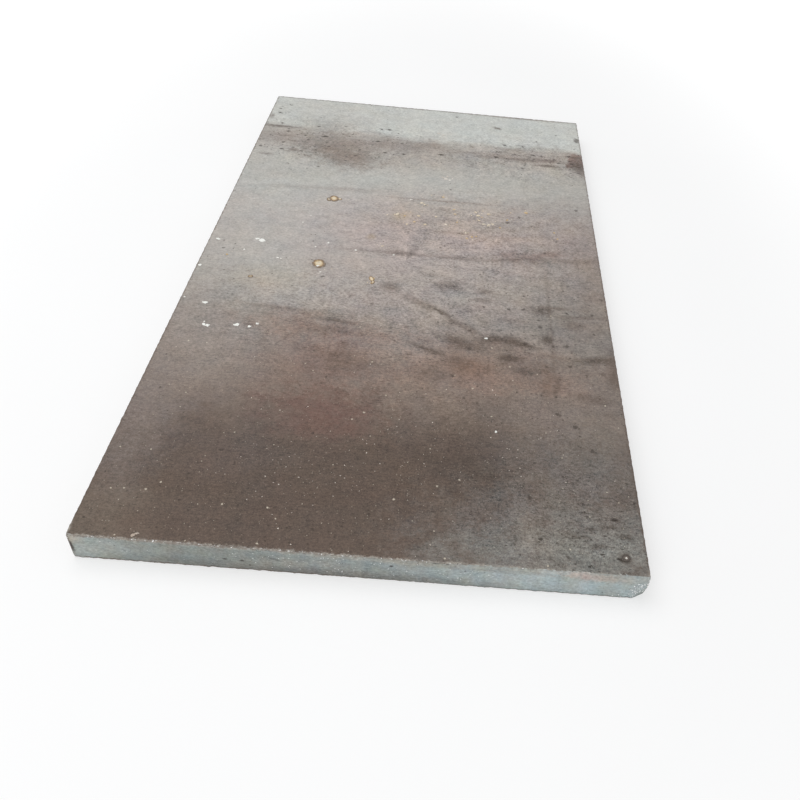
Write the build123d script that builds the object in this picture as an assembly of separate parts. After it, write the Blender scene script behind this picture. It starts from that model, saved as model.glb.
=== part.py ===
from build123d import *
import os

# A hot-rolled steel plate blank, cut to size and lying flat.
# X runs across the plate, Y along it and Z up.
# The origin is the middle of the underside, and the sawn front end faces -Y.

# The blank, in millimetres
WIDTH = 400.0
LENGTH = 730.0
THICKNESS = 25.0

# The long sides' arrises are rounded, and the two ends' arrises only lose their burr
SIDE_ARRIS_RADIUS = 1.2
END_ARRIS_CHAMFER = 0.5

# The upright corners, seen from above
CORNER_RADIUS = 2.0

# Three flat facets where a corner has lost steel.
# Each is given by how far it reaches from the sharp corner: across, along and up or down.

# A grinder has leaned the front face back, from mid-width to the upper right corner
GROUND_REACH = (140.0, 1.6, 7.0)

# The upper left corner at the front is crushed
CRUSHED_REACH = (9.0, 1.5, 7.0)

# The lower right corner at the front is broken off
BROKEN_REACH = (9.0, 5.0, 17.0)


def long_prism():
    """The section across the plate, run along its whole length."""
    section = RectangleRounded(WIDTH, THICKNESS, SIDE_ARRIS_RADIUS)
    return extrude(Plane.XZ * section, amount=LENGTH / 2, both=True)


def cross_prism():
    """The section along the plate, run across its whole width."""
    section = chamfer(Rectangle(LENGTH, THICKNESS).vertices(), END_ARRIS_CHAMFER)
    return extrude(Plane.YZ * section, amount=WIDTH / 2, both=True)


def upright_prism():
    """The outline seen from above, run through the whole thickness."""
    outline = RectangleRounded(WIDTH, LENGTH, CORNER_RADIUS)
    return extrude(outline, amount=THICKNESS / 2, both=True)


def corner_facet(side, end, face, reach):
    """The steel lost beyond a facet at one corner; the three signs say which corner it is."""
    corner = Vector(side * WIDTH / 2, end * LENGTH / 2, face * THICKNESS / 2)
    across, along, through = reach
    on_the_end = corner - Vector(side * across, 0, 0)
    on_the_side = corner - Vector(0, end * along, 0)
    on_the_upright = corner - Vector(0, 0, face * through)
    outward = (on_the_side - on_the_end).cross(on_the_upright - on_the_end)
    if outward.dot(corner - on_the_end) < 0:
        outward = -outward
    facet = Plane(origin=on_the_end, x_dir=on_the_side - on_the_end, z_dir=outward)
    span = 2 * (across + along + through)
    return extrude(facet * Rectangle(span, span), amount=span)


plate = long_prism() & cross_prism() & upright_prism()
plate -= corner_facet(1, -1, 1, GROUND_REACH)
plate -= corner_facet(-1, -1, 1, CRUSHED_REACH)
plate -= corner_facet(1, -1, -1, BROKEN_REACH)

# Everything so far is centred on the plate's mid-thickness, and here it is set down on Z = 0
steel_plate = Pos(0, 0, THICKNESS / 2) * plate

os.makedirs("parts", exist_ok=True)
export_step(steel_plate, "parts/steel_plate.step")
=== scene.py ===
# %% [markdown]
# # A hot-rolled steel plate, lying flat
#
# The object is one thick rectangle of steel, cut from a larger rolled plate. Its top is covered in
# mill scale, the thin oxide skin that grows while steel cools after rolling, and its ends are
# sawn. This lesson models the blank with a few hand tools, roughens its edges, lays the small
# loose bits on it, and then paints the scale with procedural materials.
#
# Everything is in metres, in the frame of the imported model: X across the plate, Y along it, Z up,
# with the middle of the underside at the origin.

import math
import random

import bmesh
import bpy
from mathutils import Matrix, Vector


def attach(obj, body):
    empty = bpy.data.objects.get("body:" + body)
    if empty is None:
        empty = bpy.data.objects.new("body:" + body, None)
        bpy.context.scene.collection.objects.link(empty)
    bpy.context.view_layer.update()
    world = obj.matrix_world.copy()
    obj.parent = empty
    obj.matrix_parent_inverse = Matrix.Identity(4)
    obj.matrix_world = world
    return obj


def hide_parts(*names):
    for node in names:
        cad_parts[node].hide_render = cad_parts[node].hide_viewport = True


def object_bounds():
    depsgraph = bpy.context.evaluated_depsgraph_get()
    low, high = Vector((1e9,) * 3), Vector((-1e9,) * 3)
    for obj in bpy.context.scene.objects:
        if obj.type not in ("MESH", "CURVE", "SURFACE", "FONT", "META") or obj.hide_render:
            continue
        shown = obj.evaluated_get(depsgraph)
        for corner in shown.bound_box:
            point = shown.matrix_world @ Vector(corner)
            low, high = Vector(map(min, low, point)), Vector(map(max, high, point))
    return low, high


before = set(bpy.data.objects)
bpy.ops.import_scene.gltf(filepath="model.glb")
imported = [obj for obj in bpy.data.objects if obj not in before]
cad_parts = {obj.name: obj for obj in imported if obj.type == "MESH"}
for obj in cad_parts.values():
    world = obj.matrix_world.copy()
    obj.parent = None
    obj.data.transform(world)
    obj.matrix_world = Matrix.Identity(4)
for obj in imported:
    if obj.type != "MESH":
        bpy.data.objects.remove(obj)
cad_low, cad_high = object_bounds()
MM = 0.001
WIDTH, LENGTH, THICKNESS = cad_high - cad_low
print("plate", [round(size / MM, 1) for size in (WIDTH, LENGTH, THICKNESS)], "mm")

# %% [markdown]
# ## The camera
#
# The photograph was taken by hand from just above the plate's front end, leaning a little to one
# side. Its viewpoint was worked out from the plate's own corners: the long sides run to one
# vanishing point and the ends to another, which gives the lens, the tilt and the roll. Setting the
# camera first means that every later render can be laid over the photograph.

# %% The camera
CAMERA_PLACE = Vector((42.4 * MM, -696.0 * MM, 459.6 * MM + THICKNESS))
CAMERA_DROP = math.radians(42.8)
CAMERA_TURN = math.radians(2.3)
CAMERA_ROLL = math.radians(6.22)
FOCAL_PIXELS = 813.4
CENTRE_PIXEL = 460.5
PHOTO_PIXELS = 800
SENSOR_MM = 36.0


def set_up_camera():
    """The camera at the photograph's viewpoint, with its lens and its off-centre crop."""
    bpy.ops.object.select_all(action="DESELECT")
    bpy.ops.object.camera_add(location=CAMERA_PLACE)
    camera = bpy.context.object
    camera.name = "photo_camera"
    look = Vector((
        math.cos(CAMERA_DROP) * math.sin(CAMERA_TURN),
        math.cos(CAMERA_DROP) * math.cos(CAMERA_TURN),
        -math.sin(CAMERA_DROP),
    ))
    level = look.to_track_quat("-Z", "Y").to_matrix().to_4x4()
    rolled = level @ level.Rotation(CAMERA_ROLL, 4, "Z")
    camera.rotation_euler = rolled.to_euler()
    camera.data.sensor_width = SENSOR_MM
    camera.data.lens = SENSOR_MM * FOCAL_PIXELS / PHOTO_PIXELS
    camera.data.shift_x = (PHOTO_PIXELS / 2 - CENTRE_PIXEL) / PHOTO_PIXELS
    bpy.context.scene.camera = camera
    return camera


photo_camera = set_up_camera()
print("lens", round(photo_camera.data.lens, 2), "mm, shift", round(photo_camera.data.shift_x, 4))

# %% [markdown]
# ## The blank
#
# A plate is a box with very small edges, and those edges decide whether it looks like steel or
# like a brick of plastic. It could be one bevelled cube, but later steps roughen its edges, so it
# needs points to move. The cube is therefore cut into even cells first. The upright corners are
# rounded next, and then all the sharp arrises that are left get a bevel: the rolled long sides a
# rounder one than the sawn ends, by bevel weight.

# %% Helpers for selecting by place
NEAR = 0.01 * MM


def start_alone():
    """Deselects everything, so that the next primitive is the only thing worked on."""
    if bpy.context.object and bpy.context.object.mode != "OBJECT":
        bpy.ops.object.mode_set(mode="OBJECT")
    bpy.ops.object.select_all(action="DESELECT")


def pick_edges(piece, wanted):
    """In edit mode, selects the edges for which wanted(edge) is true, and counts them."""
    bpy.ops.mesh.select_mode(type="EDGE")
    bpy.ops.mesh.select_all(action="DESELECT")
    shape = bmesh.from_edit_mesh(piece.data)
    found = [edge for edge in shape.edges if wanted(edge)]
    for edge in found:
        edge.select_set(True)
    shape.select_flush_mode()
    bmesh.update_edit_mesh(piece.data)
    return len(found)


def middle_of(edge):
    """The point halfway along an edge."""
    return (edge.verts[0].co + edge.verts[1].co) / 2


def runs_along(edge, axis):
    """True where an edge is parallel to an axis: 0 for X, 1 for Y, 2 for Z."""
    run = edge.verts[1].co - edge.verts[0].co
    return abs(abs(run[axis]) - run.length) < NEAR


# %% The blank, cut into cells
CELL = 8.0 * MM
CORNER_RADIUS = 2.0 * MM
CORNER_SEGMENTS = 3

start_alone()
bpy.ops.mesh.primitive_cube_add(size=1, location=(0, 0, THICKNESS / 2))
plate = bpy.context.object
plate.name = "rolled_plate"
plate.scale = (WIDTH, LENGTH, THICKNESS)
bpy.ops.object.transform_apply(location=True, rotation=True, scale=True)

bpy.ops.object.mode_set(mode="EDIT")
for axis, size in enumerate((WIDTH, LENGTH, THICKNESS)):
    pick_edges(plate, lambda edge: runs_along(edge, axis))
    bpy.ops.mesh.subdivide(number_cuts=round(size / CELL) - 1)


def is_upright_corner(edge):
    """True for the upright edges at the blank's four corners."""
    middle = middle_of(edge)
    at_side = abs(middle.x) > WIDTH / 2 - NEAR
    at_end = abs(middle.y) > LENGTH / 2 - NEAR
    return runs_along(edge, 2) and at_side and at_end


pick_edges(plate, is_upright_corner)
bpy.ops.mesh.bevel(offset=CORNER_RADIUS, segments=CORNER_SEGMENTS, affect="EDGES")
print("cells", len(bmesh.from_edit_mesh(plate.data).faces))

# %% The arrises
SIDE_ARRIS = 1.2 * MM
END_ARRIS = 0.5 * MM
SHARP = math.radians(60)
ARRIS_SEGMENTS = 3


def weigh_arrises(wanted, weight):
    """Adds to the bevel weight of the sharp edges for which wanted(edge) is true."""
    pick_edges(plate, lambda edge: edge.calc_face_angle(0) > SHARP and wanted(edge))
    bpy.ops.transform.edge_bevelweight(value=weight)


weigh_arrises(lambda edge: True, END_ARRIS / SIDE_ARRIS)
weigh_arrises(lambda edge: runs_along(edge, 1), 1 - END_ARRIS / SIDE_ARRIS)
bpy.ops.object.mode_set(mode="OBJECT")
arris_bevel = plate.modifiers.new("arrises", "BEVEL")
arris_bevel.limit_method = "WEIGHT"
arris_bevel.width = SIDE_ARRIS
arris_bevel.segments = ARRIS_SEGMENTS
bpy.ops.object.modifier_apply(modifier=arris_bevel.name)
print("faces with arrises", len(plate.data.polygons))

# %% [markdown]
# ## The damaged corners
#
# Three corners of the front end have lost steel: one is ground back, one crushed and one broken
# off. Each is one flat facet, given by how far it reaches along the three edges that meet in the
# corner. A bisect with its outer side cleared and its hole filled cuts exactly that.

# %% The damaged corners
GROUND_REACH = (140.0 * MM, 1.6 * MM, 7.0 * MM)
CRUSHED_REACH = (9.0 * MM, 1.5 * MM, 7.0 * MM)
BROKEN_REACH = (9.0 * MM, 5.0 * MM, 17.0 * MM)


def corner_plane(side, end, face, reach):
    """A facet's plane, as a point and an outward direction. The three signs choose the corner."""
    height = THICKNESS if face > 0 else 0
    corner = Vector((side * WIDTH / 2, end * LENGTH / 2, height))
    on_end = corner - Vector((side * reach[0], 0, 0))
    on_side = corner - Vector((0, end * reach[1], 0))
    on_upright = corner - Vector((0, 0, face * reach[2]))
    outward = (on_side - on_end).cross(on_upright - on_end).normalized()
    if outward.dot(corner - on_end) < 0:
        outward = -outward
    return on_end, outward


ground_plane = corner_plane(1, -1, 1, GROUND_REACH)
crushed_plane = corner_plane(-1, -1, 1, CRUSHED_REACH)
broken_plane = corner_plane(1, -1, -1, BROKEN_REACH)

bpy.ops.object.mode_set(mode="EDIT")
for point, outward in (ground_plane, crushed_plane, broken_plane):
    bpy.ops.mesh.select_all(action="SELECT")
    bpy.ops.mesh.bisect(plane_co=point, plane_no=outward, use_fill=True, clear_outer=True)
bpy.ops.object.mode_set(mode="OBJECT")
print("faces with facets", len(plate.data.polygons))

# %% [markdown]
# ## Finer cells where the steel is rough
#
# A sawn face and its torn arris need cells of about a millimetre, and the flat middle of the top
# doesn't. One even fine grid would be millions of faces. Here only edges that are longer than the
# place allows are split, again and again, until none is left. Triangles take that well, because
# any of their edges can be split.

# %% Finer cells near the edges
SAWN_CELL = 1.0 * MM
ARRIS_CELL = 1.3 * MM
SIDE_CELL = 3.2 * MM
FAR_END_CELL = 1.8 * MM
FRONT_DEPTH = 2.0 * MM
FAR_DEPTH = 1.0 * MM
SIDE_DEPTH = 0.5 * MM
GROWTH = 0.45
UNDERSIDE_FACTOR = 2
SLACK = 1.35
MOST_SWEEPS = 8


def from_arris(point):
    """How far a point of the plate's skin is from the nearest arris."""
    gaps = sorted((
        WIDTH / 2 - abs(point.x),
        LENGTH / 2 - abs(point.y),
        min(point.z, THICKNESS - point.z),
    ))
    return max(gaps[1], 0)


def longest_allowed(point):
    """The longest edge allowed at a place: short on sawn faces and arrises, long in the middle."""
    inward = from_arris(point)
    if point.y + LENGTH / 2 < FRONT_DEPTH:
        return SAWN_CELL
    if LENGTH / 2 - point.y < FAR_DEPTH:
        return FAR_END_CELL
    if WIDTH / 2 - abs(point.x) < SIDE_DEPTH:
        return min(ARRIS_CELL + GROWTH * inward, SIDE_CELL)
    if point.z < THICKNESS / 2:
        return UNDERSIDE_FACTOR * (ARRIS_CELL + GROWTH * inward)
    return ARRIS_CELL + GROWTH * inward


def too_long(edge):
    """True where an edge is longer than its place allows."""
    return edge.calc_length() > SLACK * longest_allowed(middle_of(edge))


def make_triangles():
    """Turns every face into triangles, along its better diagonals."""
    bpy.ops.mesh.select_all(action="SELECT")
    bpy.ops.mesh.quads_convert_to_tris(quad_method="BEAUTY", ngon_method="BEAUTY")


bpy.ops.object.mode_set(mode="EDIT")
make_triangles()
sweeps = 0
while pick_edges(plate, too_long) and sweeps < MOST_SWEEPS:
    bpy.ops.mesh.subdivide(number_cuts=1)
    make_triangles()
    sweeps += 1
bpy.ops.mesh.select_all(action="SELECT")
bpy.ops.mesh.remove_doubles(threshold=NEAR)
bpy.ops.object.mode_set(mode="OBJECT")
print("sweeps", sweeps, "triangles", len(plate.data.polygons))

# %% [markdown]
# ## Relief
#
# Steel that was rolled, sawn and dragged about isn't flat at close range. The saw tears the front
# arris and leaves fine ridges across the end, the rolled sides are a little wavy, and the scale
# on the top rises and falls by a hair. Each is one Displace modifier with a noise texture, held
# to its own part of the plate by a vertex group. They move the skin inwards, so the plate keeps
# its size: only a few points on its arrises stray outwards, by up to 0.3 mm.

# %% The parts of the skin that move
TORN_REACH = 2.4 * MM
LONG_ARRIS_REACH = 1.8 * MM
SKIN = 0.1 * MM
SIDE_FADE = 3.0 * MM
TOP_FADE = 10.0 * MM
FAINTEST = 0.01


def weigh_points(name, weight_at):
    """A vertex group of the plate whose weights come from weight_at(point)."""
    group = plate.vertex_groups.new(name=name)
    for vertex in plate.data.vertices:
        weight = weight_at(vertex.co)
        if weight > FAINTEST:
            group.add([vertex.index], min(weight, 1.0), "REPLACE")


def front_arris_weight(point):
    """1 on the front end's upper arris, fading over TORN_REACH."""
    away = math.hypot(point.y + LENGTH / 2, point.z - THICKNESS)
    return 1 - away / TORN_REACH


def low_arris_weight(point):
    """1 on the front end's lower arris, fading over TORN_REACH."""
    away = math.hypot(point.y + LENGTH / 2, point.z)
    return 1 - away / TORN_REACH


def long_arris_weight(point):
    """1 on the upper arrises of the two long sides and of the far end, fading fast."""
    to_side = min(WIDTH / 2 - abs(point.x), LENGTH / 2 - point.y)
    away = math.hypot(to_side, point.z - THICKNESS)
    return 1 - away / LONG_ARRIS_REACH


def sawn_weight(point):
    """1 on the two sawn ends."""
    return 1.0 if LENGTH / 2 - abs(point.y) < SKIN else 0.0


def side_weight(point):
    """1 on the two long sides, fading towards their arrises."""
    if WIDTH / 2 - abs(point.x) > SKIN:
        return 0.0
    return min(point.z, THICKNESS - point.z) / SIDE_FADE


def top_weight(point):
    """1 on the top, fading towards its arrises."""
    if THICKNESS - point.z > SKIN:
        return 0.0
    return from_arris(point) / TOP_FADE


RELIEF = (
    # part of the skin, its weights, grain and depth in mm, contrast, stretch of the grain
    ("torn_arris", front_arris_weight, 3.2, 1.3, 2.2, None),
    ("low_arris", low_arris_weight, 5.0, 0.9, 2.0, None),
    ("long_arrises", long_arris_weight, 5.0, 0.7, 2.0, None),
    ("sawn_ends", sawn_weight, 0.9, 0.22, 1.6, (14, 1, 1)),
    ("long_sides", side_weight, 6.0, 0.45, 1.6, (1, 4, 1)),
    ("top", top_weight, 38.0, 0.12, 1.6, None),
)
for part, weight_at, *_ in RELIEF:
    weigh_points(part, weight_at)
print("parts of the skin", [group.name for group in plate.vertex_groups])

# %% The relief
SMOOTH_BELOW = math.radians(32)


def take_up(piece):
    """Makes a piece the only thing worked on."""
    start_alone()
    bpy.context.view_layer.objects.active = piece
    piece.select_set(True)


def dent(part, grain, depth, contrast, stretch):
    """Pushes a part of the plate's skin inwards, with bumps of the grain's size and depth."""
    texture = bpy.data.textures.new(part, type="CLOUDS")
    texture.noise_scale = grain
    texture.noise_depth = 3
    texture.contrast = contrast
    push = plate.modifiers.new(part, "DISPLACE")
    push.texture = texture
    push.vertex_group = part
    push.strength = depth
    push.mid_level = 1.0
    push.direction = "NORMAL"
    push.texture_coords = "LOCAL"
    if stretch:
        start_alone()
        bpy.ops.object.empty_add()
        ruler = bpy.context.object
        ruler.scale = stretch
        bpy.context.view_layer.update()
        push.texture_coords = "OBJECT"
        push.texture_coords_object = ruler
    take_up(plate)
    bpy.ops.object.modifier_apply(modifier=push.name)
    if stretch:
        bpy.data.objects.remove(ruler)


for part, _, grain, depth, contrast, stretch in RELIEF:
    dent(part, grain * MM, depth * MM, contrast, stretch)
take_up(plate)
bpy.ops.object.shade_smooth_by_angle(angle=SMOOTH_BELOW)
plate.vertex_groups.clear()

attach(plate, "root")
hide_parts("steel_plate")
print("points", len(plate.data.vertices))

# %% [markdown]
# ## Loose bits and spots
#
# Small things make the steel believable: dried rust drops with a dark rim, flecks of something
# pale, golden rust grains, dust, and bright burrs along the torn arris. Painting them in a
# material would leave them flat. Each kind is modelled once as a small solid, copied with its own
# mesh, size and turn, and joined into one piece. The random draws are seeded, so that the drops,
# flecks, grains and grit lie in the same places every time.

# %% Helpers for laying small pieces


def mark_points(piece, name, value_at):
    """Writes a number for every point of a piece's mesh, for its material to read."""
    marks = piece.data.attributes.new(name, "FLOAT", "POINT")
    for vertex, entry in zip(piece.data.vertices, marks.data):
        entry.value = value_at(vertex.co)


def lay_copy(master, place, size, turn, tone):
    """A copy of a small piece with its own mesh, at a place, size and turn, and with its own tone."""
    twin = master.copy()
    twin.data = master.data.copy()
    bpy.context.collection.objects.link(twin)
    twin.location = place
    twin.scale = size
    twin.rotation_euler = (0, 0, turn)
    mark_points(twin, "tone", lambda point: tone)
    return twin


def join_as(name, twins, masters):
    """Joins the copies into one named piece at the origin, and deletes the masters."""
    start_alone()
    for twin in twins:
        twin.select_set(True)
    bpy.context.view_layer.objects.active = twins[0]
    bpy.ops.object.join()
    piece = bpy.context.object
    piece.name = name
    bpy.ops.object.transform_apply(location=True, rotation=True, scale=True)
    for master in masters:
        bpy.data.objects.remove(master)
    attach(piece, "root")
    print(name, len(twins), "bits", len(piece.data.polygons), "faces")
    return piece


def shake_points(offset, seed):
    """In edit mode, pushes all points about a little."""
    bpy.ops.mesh.select_all(action="SELECT")
    bpy.ops.transform.vertex_random(offset=offset, uniform=0.6, normal=0.4, seed=seed)


def model_chip(seed, roughness, subdivisions=1):
    """A broken fleck of unit size: an icosphere with its points pushed about."""
    start_alone()
    bpy.ops.mesh.primitive_ico_sphere_add(subdivisions=subdivisions, radius=0.5)
    chip = bpy.context.object
    bpy.ops.object.mode_set(mode="EDIT")
    shake_points(roughness, seed)
    bpy.ops.object.mode_set(mode="OBJECT")
    return chip


# %% [markdown]
# ### Rust drops
#
# Drops of dirty water dried on the plate and left low domes: a dark raised rim, a hollow inside
# it and a pale crust in the middle. The dome is grown from a disc by extruding it upwards and
# drawing it in, ring by ring, as on a lathe. A point attribute remembers how far each point is
# from the middle, and the material colours the rings by it.

# %% The rust drops
DROP_RINGS = (
    # each ring's rise above the last one, and its radius
    (0.55, 0.95), (0.35, 0.88), (-0.12, 0.74), (0.0, 0.62), (0.18, 0.48), (0.12, 0.3), (0.05, 0.14),
)
DROP_SIDES = 26
DROP_SINK = 0.25
DROP_SHAPES = 3
DROPS = (
    # x, y, half width, half length, height, turn, rustiness
    (-84.5, -19.0, 6.6, 7.8, 1.0, 20, 0.9),
    (-88.3, 109.6, 5.2, 6.6, 0.8, 200, 0.9),
    (-93.5, 107.0, 2.6, 4.0, 0.4, 20, 0.5),
    (-82.2, 109.8, 2.4, 2.8, 0.4, 70, 0.9),
    (-30.2, -37.5, 2.6, 5.0, 0.6, 20, 1.0),
    (-28.4, -43.0, 1.8, 3.6, 0.6, -10, 0.9),
    (-145.0, -50.0, 2.6, 2.2, 0.4, 10, 0.6),
    (184.0, -349.0, 3.2, 3.6, 0.5, 320, 0.0),
)


def model_drop(seed):
    """One drop with a foot of radius 1 and a height of about 1, which copies then scale."""
    start_alone()
    foot = (0, 0, -DROP_SINK)
    bpy.ops.mesh.primitive_circle_add(vertices=DROP_SIDES, radius=1, fill_type="NGON", location=foot)
    drop = bpy.context.object
    bpy.ops.object.transform_apply(location=True, rotation=False, scale=False)
    bpy.ops.object.mode_set(mode="EDIT")
    bpy.ops.mesh.select_all(action="SELECT")
    reached = 1.0
    for rise, radius in DROP_RINGS:
        bpy.ops.mesh.extrude_region_move(TRANSFORM_OT_translate={"value": (0, 0, rise)})
        shrink = radius / reached
        bpy.ops.transform.resize(value=(shrink, shrink, 1))
        reached = radius
    bpy.ops.mesh.poke()
    bpy.ops.mesh.select_all(action="SELECT")
    bpy.ops.mesh.normals_make_consistent(inside=False)
    bpy.ops.object.mode_set(mode="OBJECT")
    mark_points(drop, "from_middle", lambda point: math.hypot(point.x, point.y))
    bpy.ops.object.mode_set(mode="EDIT")
    shake_points(0.09, seed)
    bpy.ops.object.mode_set(mode="OBJECT")
    bpy.ops.object.shade_smooth()
    return drop


def lay_drops():
    """The rust drops, each with its own shape."""
    masters = [model_drop(seed) for seed in range(DROP_SHAPES)]
    twins = []
    for count, (x, y, across, along, height, turn, rust) in enumerate(DROPS):
        place = Vector((x * MM, y * MM, THICKNESS))
        size = (across * MM, along * MM, height * MM)
        twins.append(lay_copy(masters[count % DROP_SHAPES], place, size, math.radians(turn), rust))
    return join_as("rust_drops", twins, masters)


rust_drops = lay_drops()

# %% [markdown]
# ### Pale flecks, and a painted highlight on a drop
#
# Flecks of something white, like plaster or paint, lie about, most of them on the left. They are
# flat flakes of one to seven millimetres with broken outlines, half stuck to the scale. The white
# flake lifted onto the rim of the largest drop is a painted highlight on the drop, and two buff flecks
# lie by the front arris.

# %% The pale flecks, and a painted highlight on a drop
FLECKS_AND_HIGHLIGHT = (
    # x, y, lift, width, length, turn, paleness
    (-147.3, 14.2, 0.0, 6.6, 4.6, -25, 1.0),
    (-152.6, 16.4, 0.0, 4.2, 2.4, 15, 1.0),
    (-190.6, 9.8, 0.0, 4.6, 2.8, -20, 1.0),
    (-196.6, -38.5, 0.0, 3.4, 3.4, 0, 1.0),
    (-161.1, -4.9, 0.0, 2.0, 1.8, 0, 0.9),
    (-125.8, -14.6, 0.0, 3.4, 1.6, -30, 0.8),
    (-122.6, -15.6, 0.0, 1.8, 1.4, 10, 0.8),
    (-176.3, -96.9, 0.0, 5.0, 3.6, -15, 1.0),
    (-168.6, -128.6, 0.0, 4.2, 2.2, -50, 1.0),
    (-165.4, -129.6, 0.0, 3.4, 3.4, 40, 1.0),
    (-169.4, -124.6, 0.0, 1.6, 1.4, 60, 0.9),
    (-140.9, -125.6, 0.0, 5.0, 4.0, 10, 1.0),
    (-129.0, -126.3, 0.0, 3.4, 2.2, 15, 1.0),
    (-123.0, -121.4, 0.0, 2.8, 2.4, -30, 0.9),
    (-196.2, -91.0, 0.0, 1.8, 1.6, 0, 0.8),
    (-109.6, 16.6, 0.0, 1.6, 1.6, 0, 0.6),
    (-92.6, 10.9, 0.0, 2.2, 1.4, 10, 0.8),
    (-81.0, 20.2, 0.0, 1.8, 2.8, 0, 0.9),
    (-51.7, 10.8, 0.0, 2.4, 2.0, 0, 0.9),
    (-107.3, 70.1, 0.0, 2.0, 1.4, 0, 0.9),
    (-113.1, 55.1, 0.0, 1.6, 1.6, 0, 0.8),
    # a white flake lifted onto the rim of the largest drop: a painted highlight on the drop
    (-84.8, -23.4, 0.5, 3.0, 2.4, 30, 1.0),
    (-80.6, -33.0, 0.0, 2.0, 1.6, 0, 0.8),
    (-81.7, 110.0, 0.0, 2.4, 2.0, 20, 0.6),
    (32.4, 177.8, 0.0, 5.0, 4.0, -10, 0.5),
    (37.0, 175.4, 0.0, 3.4, 2.4, 30, 0.6),
    (28.8, 180.5, 0.0, 3.0, 2.0, 0, 0.4),
    (34.0, 183.0, 0.0, 2.6, 2.4, 50, 0.4),
    (40.0, 179.0, 0.0, 2.0, 1.6, 0, 0.6),
    (17.7, 296.1, 0.0, 4.0, 2.4, 0, 0.5),
    (24.0, 292.0, 0.0, 3.0, 1.8, 0, 0.5),
    (82.6, -115.4, 0.0, 3.4, 2.4, 0, 1.0),
    (92.0, -234.0, 0.0, 2.0, 1.9, 0, 1.0),
    (-4.1, 122.9, 0.0, 3.0, 2.0, 10, 0.7),
    (-12.8, 8.0, 0.0, 2.0, 1.6, 0, 0.9),
    (184.0, -349.2, 0.2, 1.7, 1.7, 0, 0.7),
    (-155.5, -361.0, 0.0, 3.6, 1.8, 50, 0.1),
    (-153.2, -359.4, 0.0, 2.8, 1.4, 10, 0.2),
)
FLECK_AND_HIGHLIGHT_HEIGHT = 0.9 * MM
FLECK_AND_HIGHLIGHT_SHAPES = 4


def lay_flecks_and_highlight():
    """The pale flecks, flat flakes of a few different shapes, with a white flake for the painted
    highlight on the largest drop.
    """
    masters = [model_chip(seed, 0.2, subdivisions=2) for seed in range(FLECK_AND_HIGHLIGHT_SHAPES)]
    twins = []
    for count, (x, y, lift, across, along, turn, pale) in enumerate(FLECKS_AND_HIGHLIGHT):
        place = Vector((x * MM, y * MM, THICKNESS + lift * MM))
        size = (across * MM, along * MM, FLECK_AND_HIGHLIGHT_HEIGHT)
        twins.append(lay_copy(masters[count % FLECK_AND_HIGHLIGHT_SHAPES], place, size, math.radians(turn), pale))
    return join_as("pale_flecks_and_highlight", twins, masters)


pale_flecks_and_highlight = lay_flecks_and_highlight()

# %% [markdown]
# ### Golden rust grains
#
# Fresh rust starts as single golden grains, and here a loose cluster of them lies past the middle
# of the plate. The larger grains are listed one by one, and a few finer ones are scattered around
# each.

# %% The golden grains
GRAINS = (
    # x, y, size, goldenness
    (-16.6, 88.4, 4.6, 0.2), (-8.1, 86.1, 1.8, 1.0), (7.2, 88.7, 3.0, 0.4), (3.2, 75.8, 2.6, 0.7),
    (-4.4, 69.3, 2.4, 0.4), (15.1, 72.3, 2.8, 0.4), (25.3, 90.1, 2.8, 0.3), (8.4, 117.1, 3.2, 0.2),
    (11.4, 113.9, 2.6, 0.2), (37.0, 75.4, 3.0, 0.0), (46.4, 99.1, 2.8, 0.6), (44.7, 108.7, 2.4, 0.8),
    (48.9, 82.7, 2.4, 0.9), (68.8, 106.5, 3.2, 0.3), (71.7, 99.8, 3.4, 0.3), (72.8, 90.2, 3.0, 0.3),
    (77.9, 82.9, 2.8, 0.1), (83.9, 82.5, 3.4, 0.1), (87.9, 84.5, 2.8, 0.2), (83.2, 105.4, 3.0, 0.4),
    (59.0, 62.0, 2.8, 0.1), (60.6, 51.5, 2.8, 0.8), (66.0, 55.0, 2.0, 1.0), (70.5, 57.0, 1.8, 1.0),
    (-25.9, 22.8, 2.8, 0.3), (31.8, 134.4, 3.0, 0.7), (125.0, 115.0, 3.4, 0.8), (104.0, 96.0, 2.6, 1.0),
    (155.0, 78.0, 2.4, 0.9), (158.0, 66.0, 2.0, 1.0), (96.0, 79.0, 2.0, 1.0), (-145.4, -50.4, 2.0, 0.9),
    (-28.4, -36.5, 2.4, 0.9), (-29.6, -44.0, 2.0, 1.0), (-175.8, -16.3, 2.2, 1.0),
    (-78.6, -20.8, 1.8, 1.0),
)
GRAIN_SEED = 11
GRAIN_GROWTH = 1.25
GRAIN_HEIGHT = 0.35
FINE_GRAINS = 3
FINE_SHARE = (0.25, 0.6)
FINE_SPREAD_ACROSS = 5
FINE_SPREAD_ALONG = 4


def lay_grains():
    """The golden grains, each with a few finer ones around it."""
    draw = random.Random(GRAIN_SEED)
    masters = [model_chip(10 + seed, 0.16) for seed in range(3)]
    twins = []
    for x, y, size, gold in GRAINS:
        spots = [(x, y, GRAIN_GROWTH * size, gold)]
        for _ in range(FINE_GRAINS):
            share = draw.uniform(*FINE_SHARE)
            near_x = draw.gauss(x, FINE_SPREAD_ACROSS)
            near_y = draw.gauss(y, FINE_SPREAD_ALONG)
            spots.append((near_x, near_y, size * share, 0.7 * draw.random()))
        for spot_x, spot_y, across, tone in spots:
            place = Vector((spot_x * MM, spot_y * MM, THICKNESS))
            shape = (across * MM, across * draw.uniform(0.6, 1.1) * MM, GRAIN_HEIGHT * across * MM)
            twins.append(lay_copy(draw.choice(masters), place, shape, draw.uniform(0, math.tau), tone))
    return join_as("golden_grains", twins, masters)


golden_grains = lay_grains()

# %% [markdown]
# ### Dust and grit
#
# The front half of the plate is strewn with fine pale grit, like stars. Each grain is a rough
# pyramid of about a millimetre, sunk a little into the scale. They lie in loose swarms, most of
# them around one spot in the middle of the front third.

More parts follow.
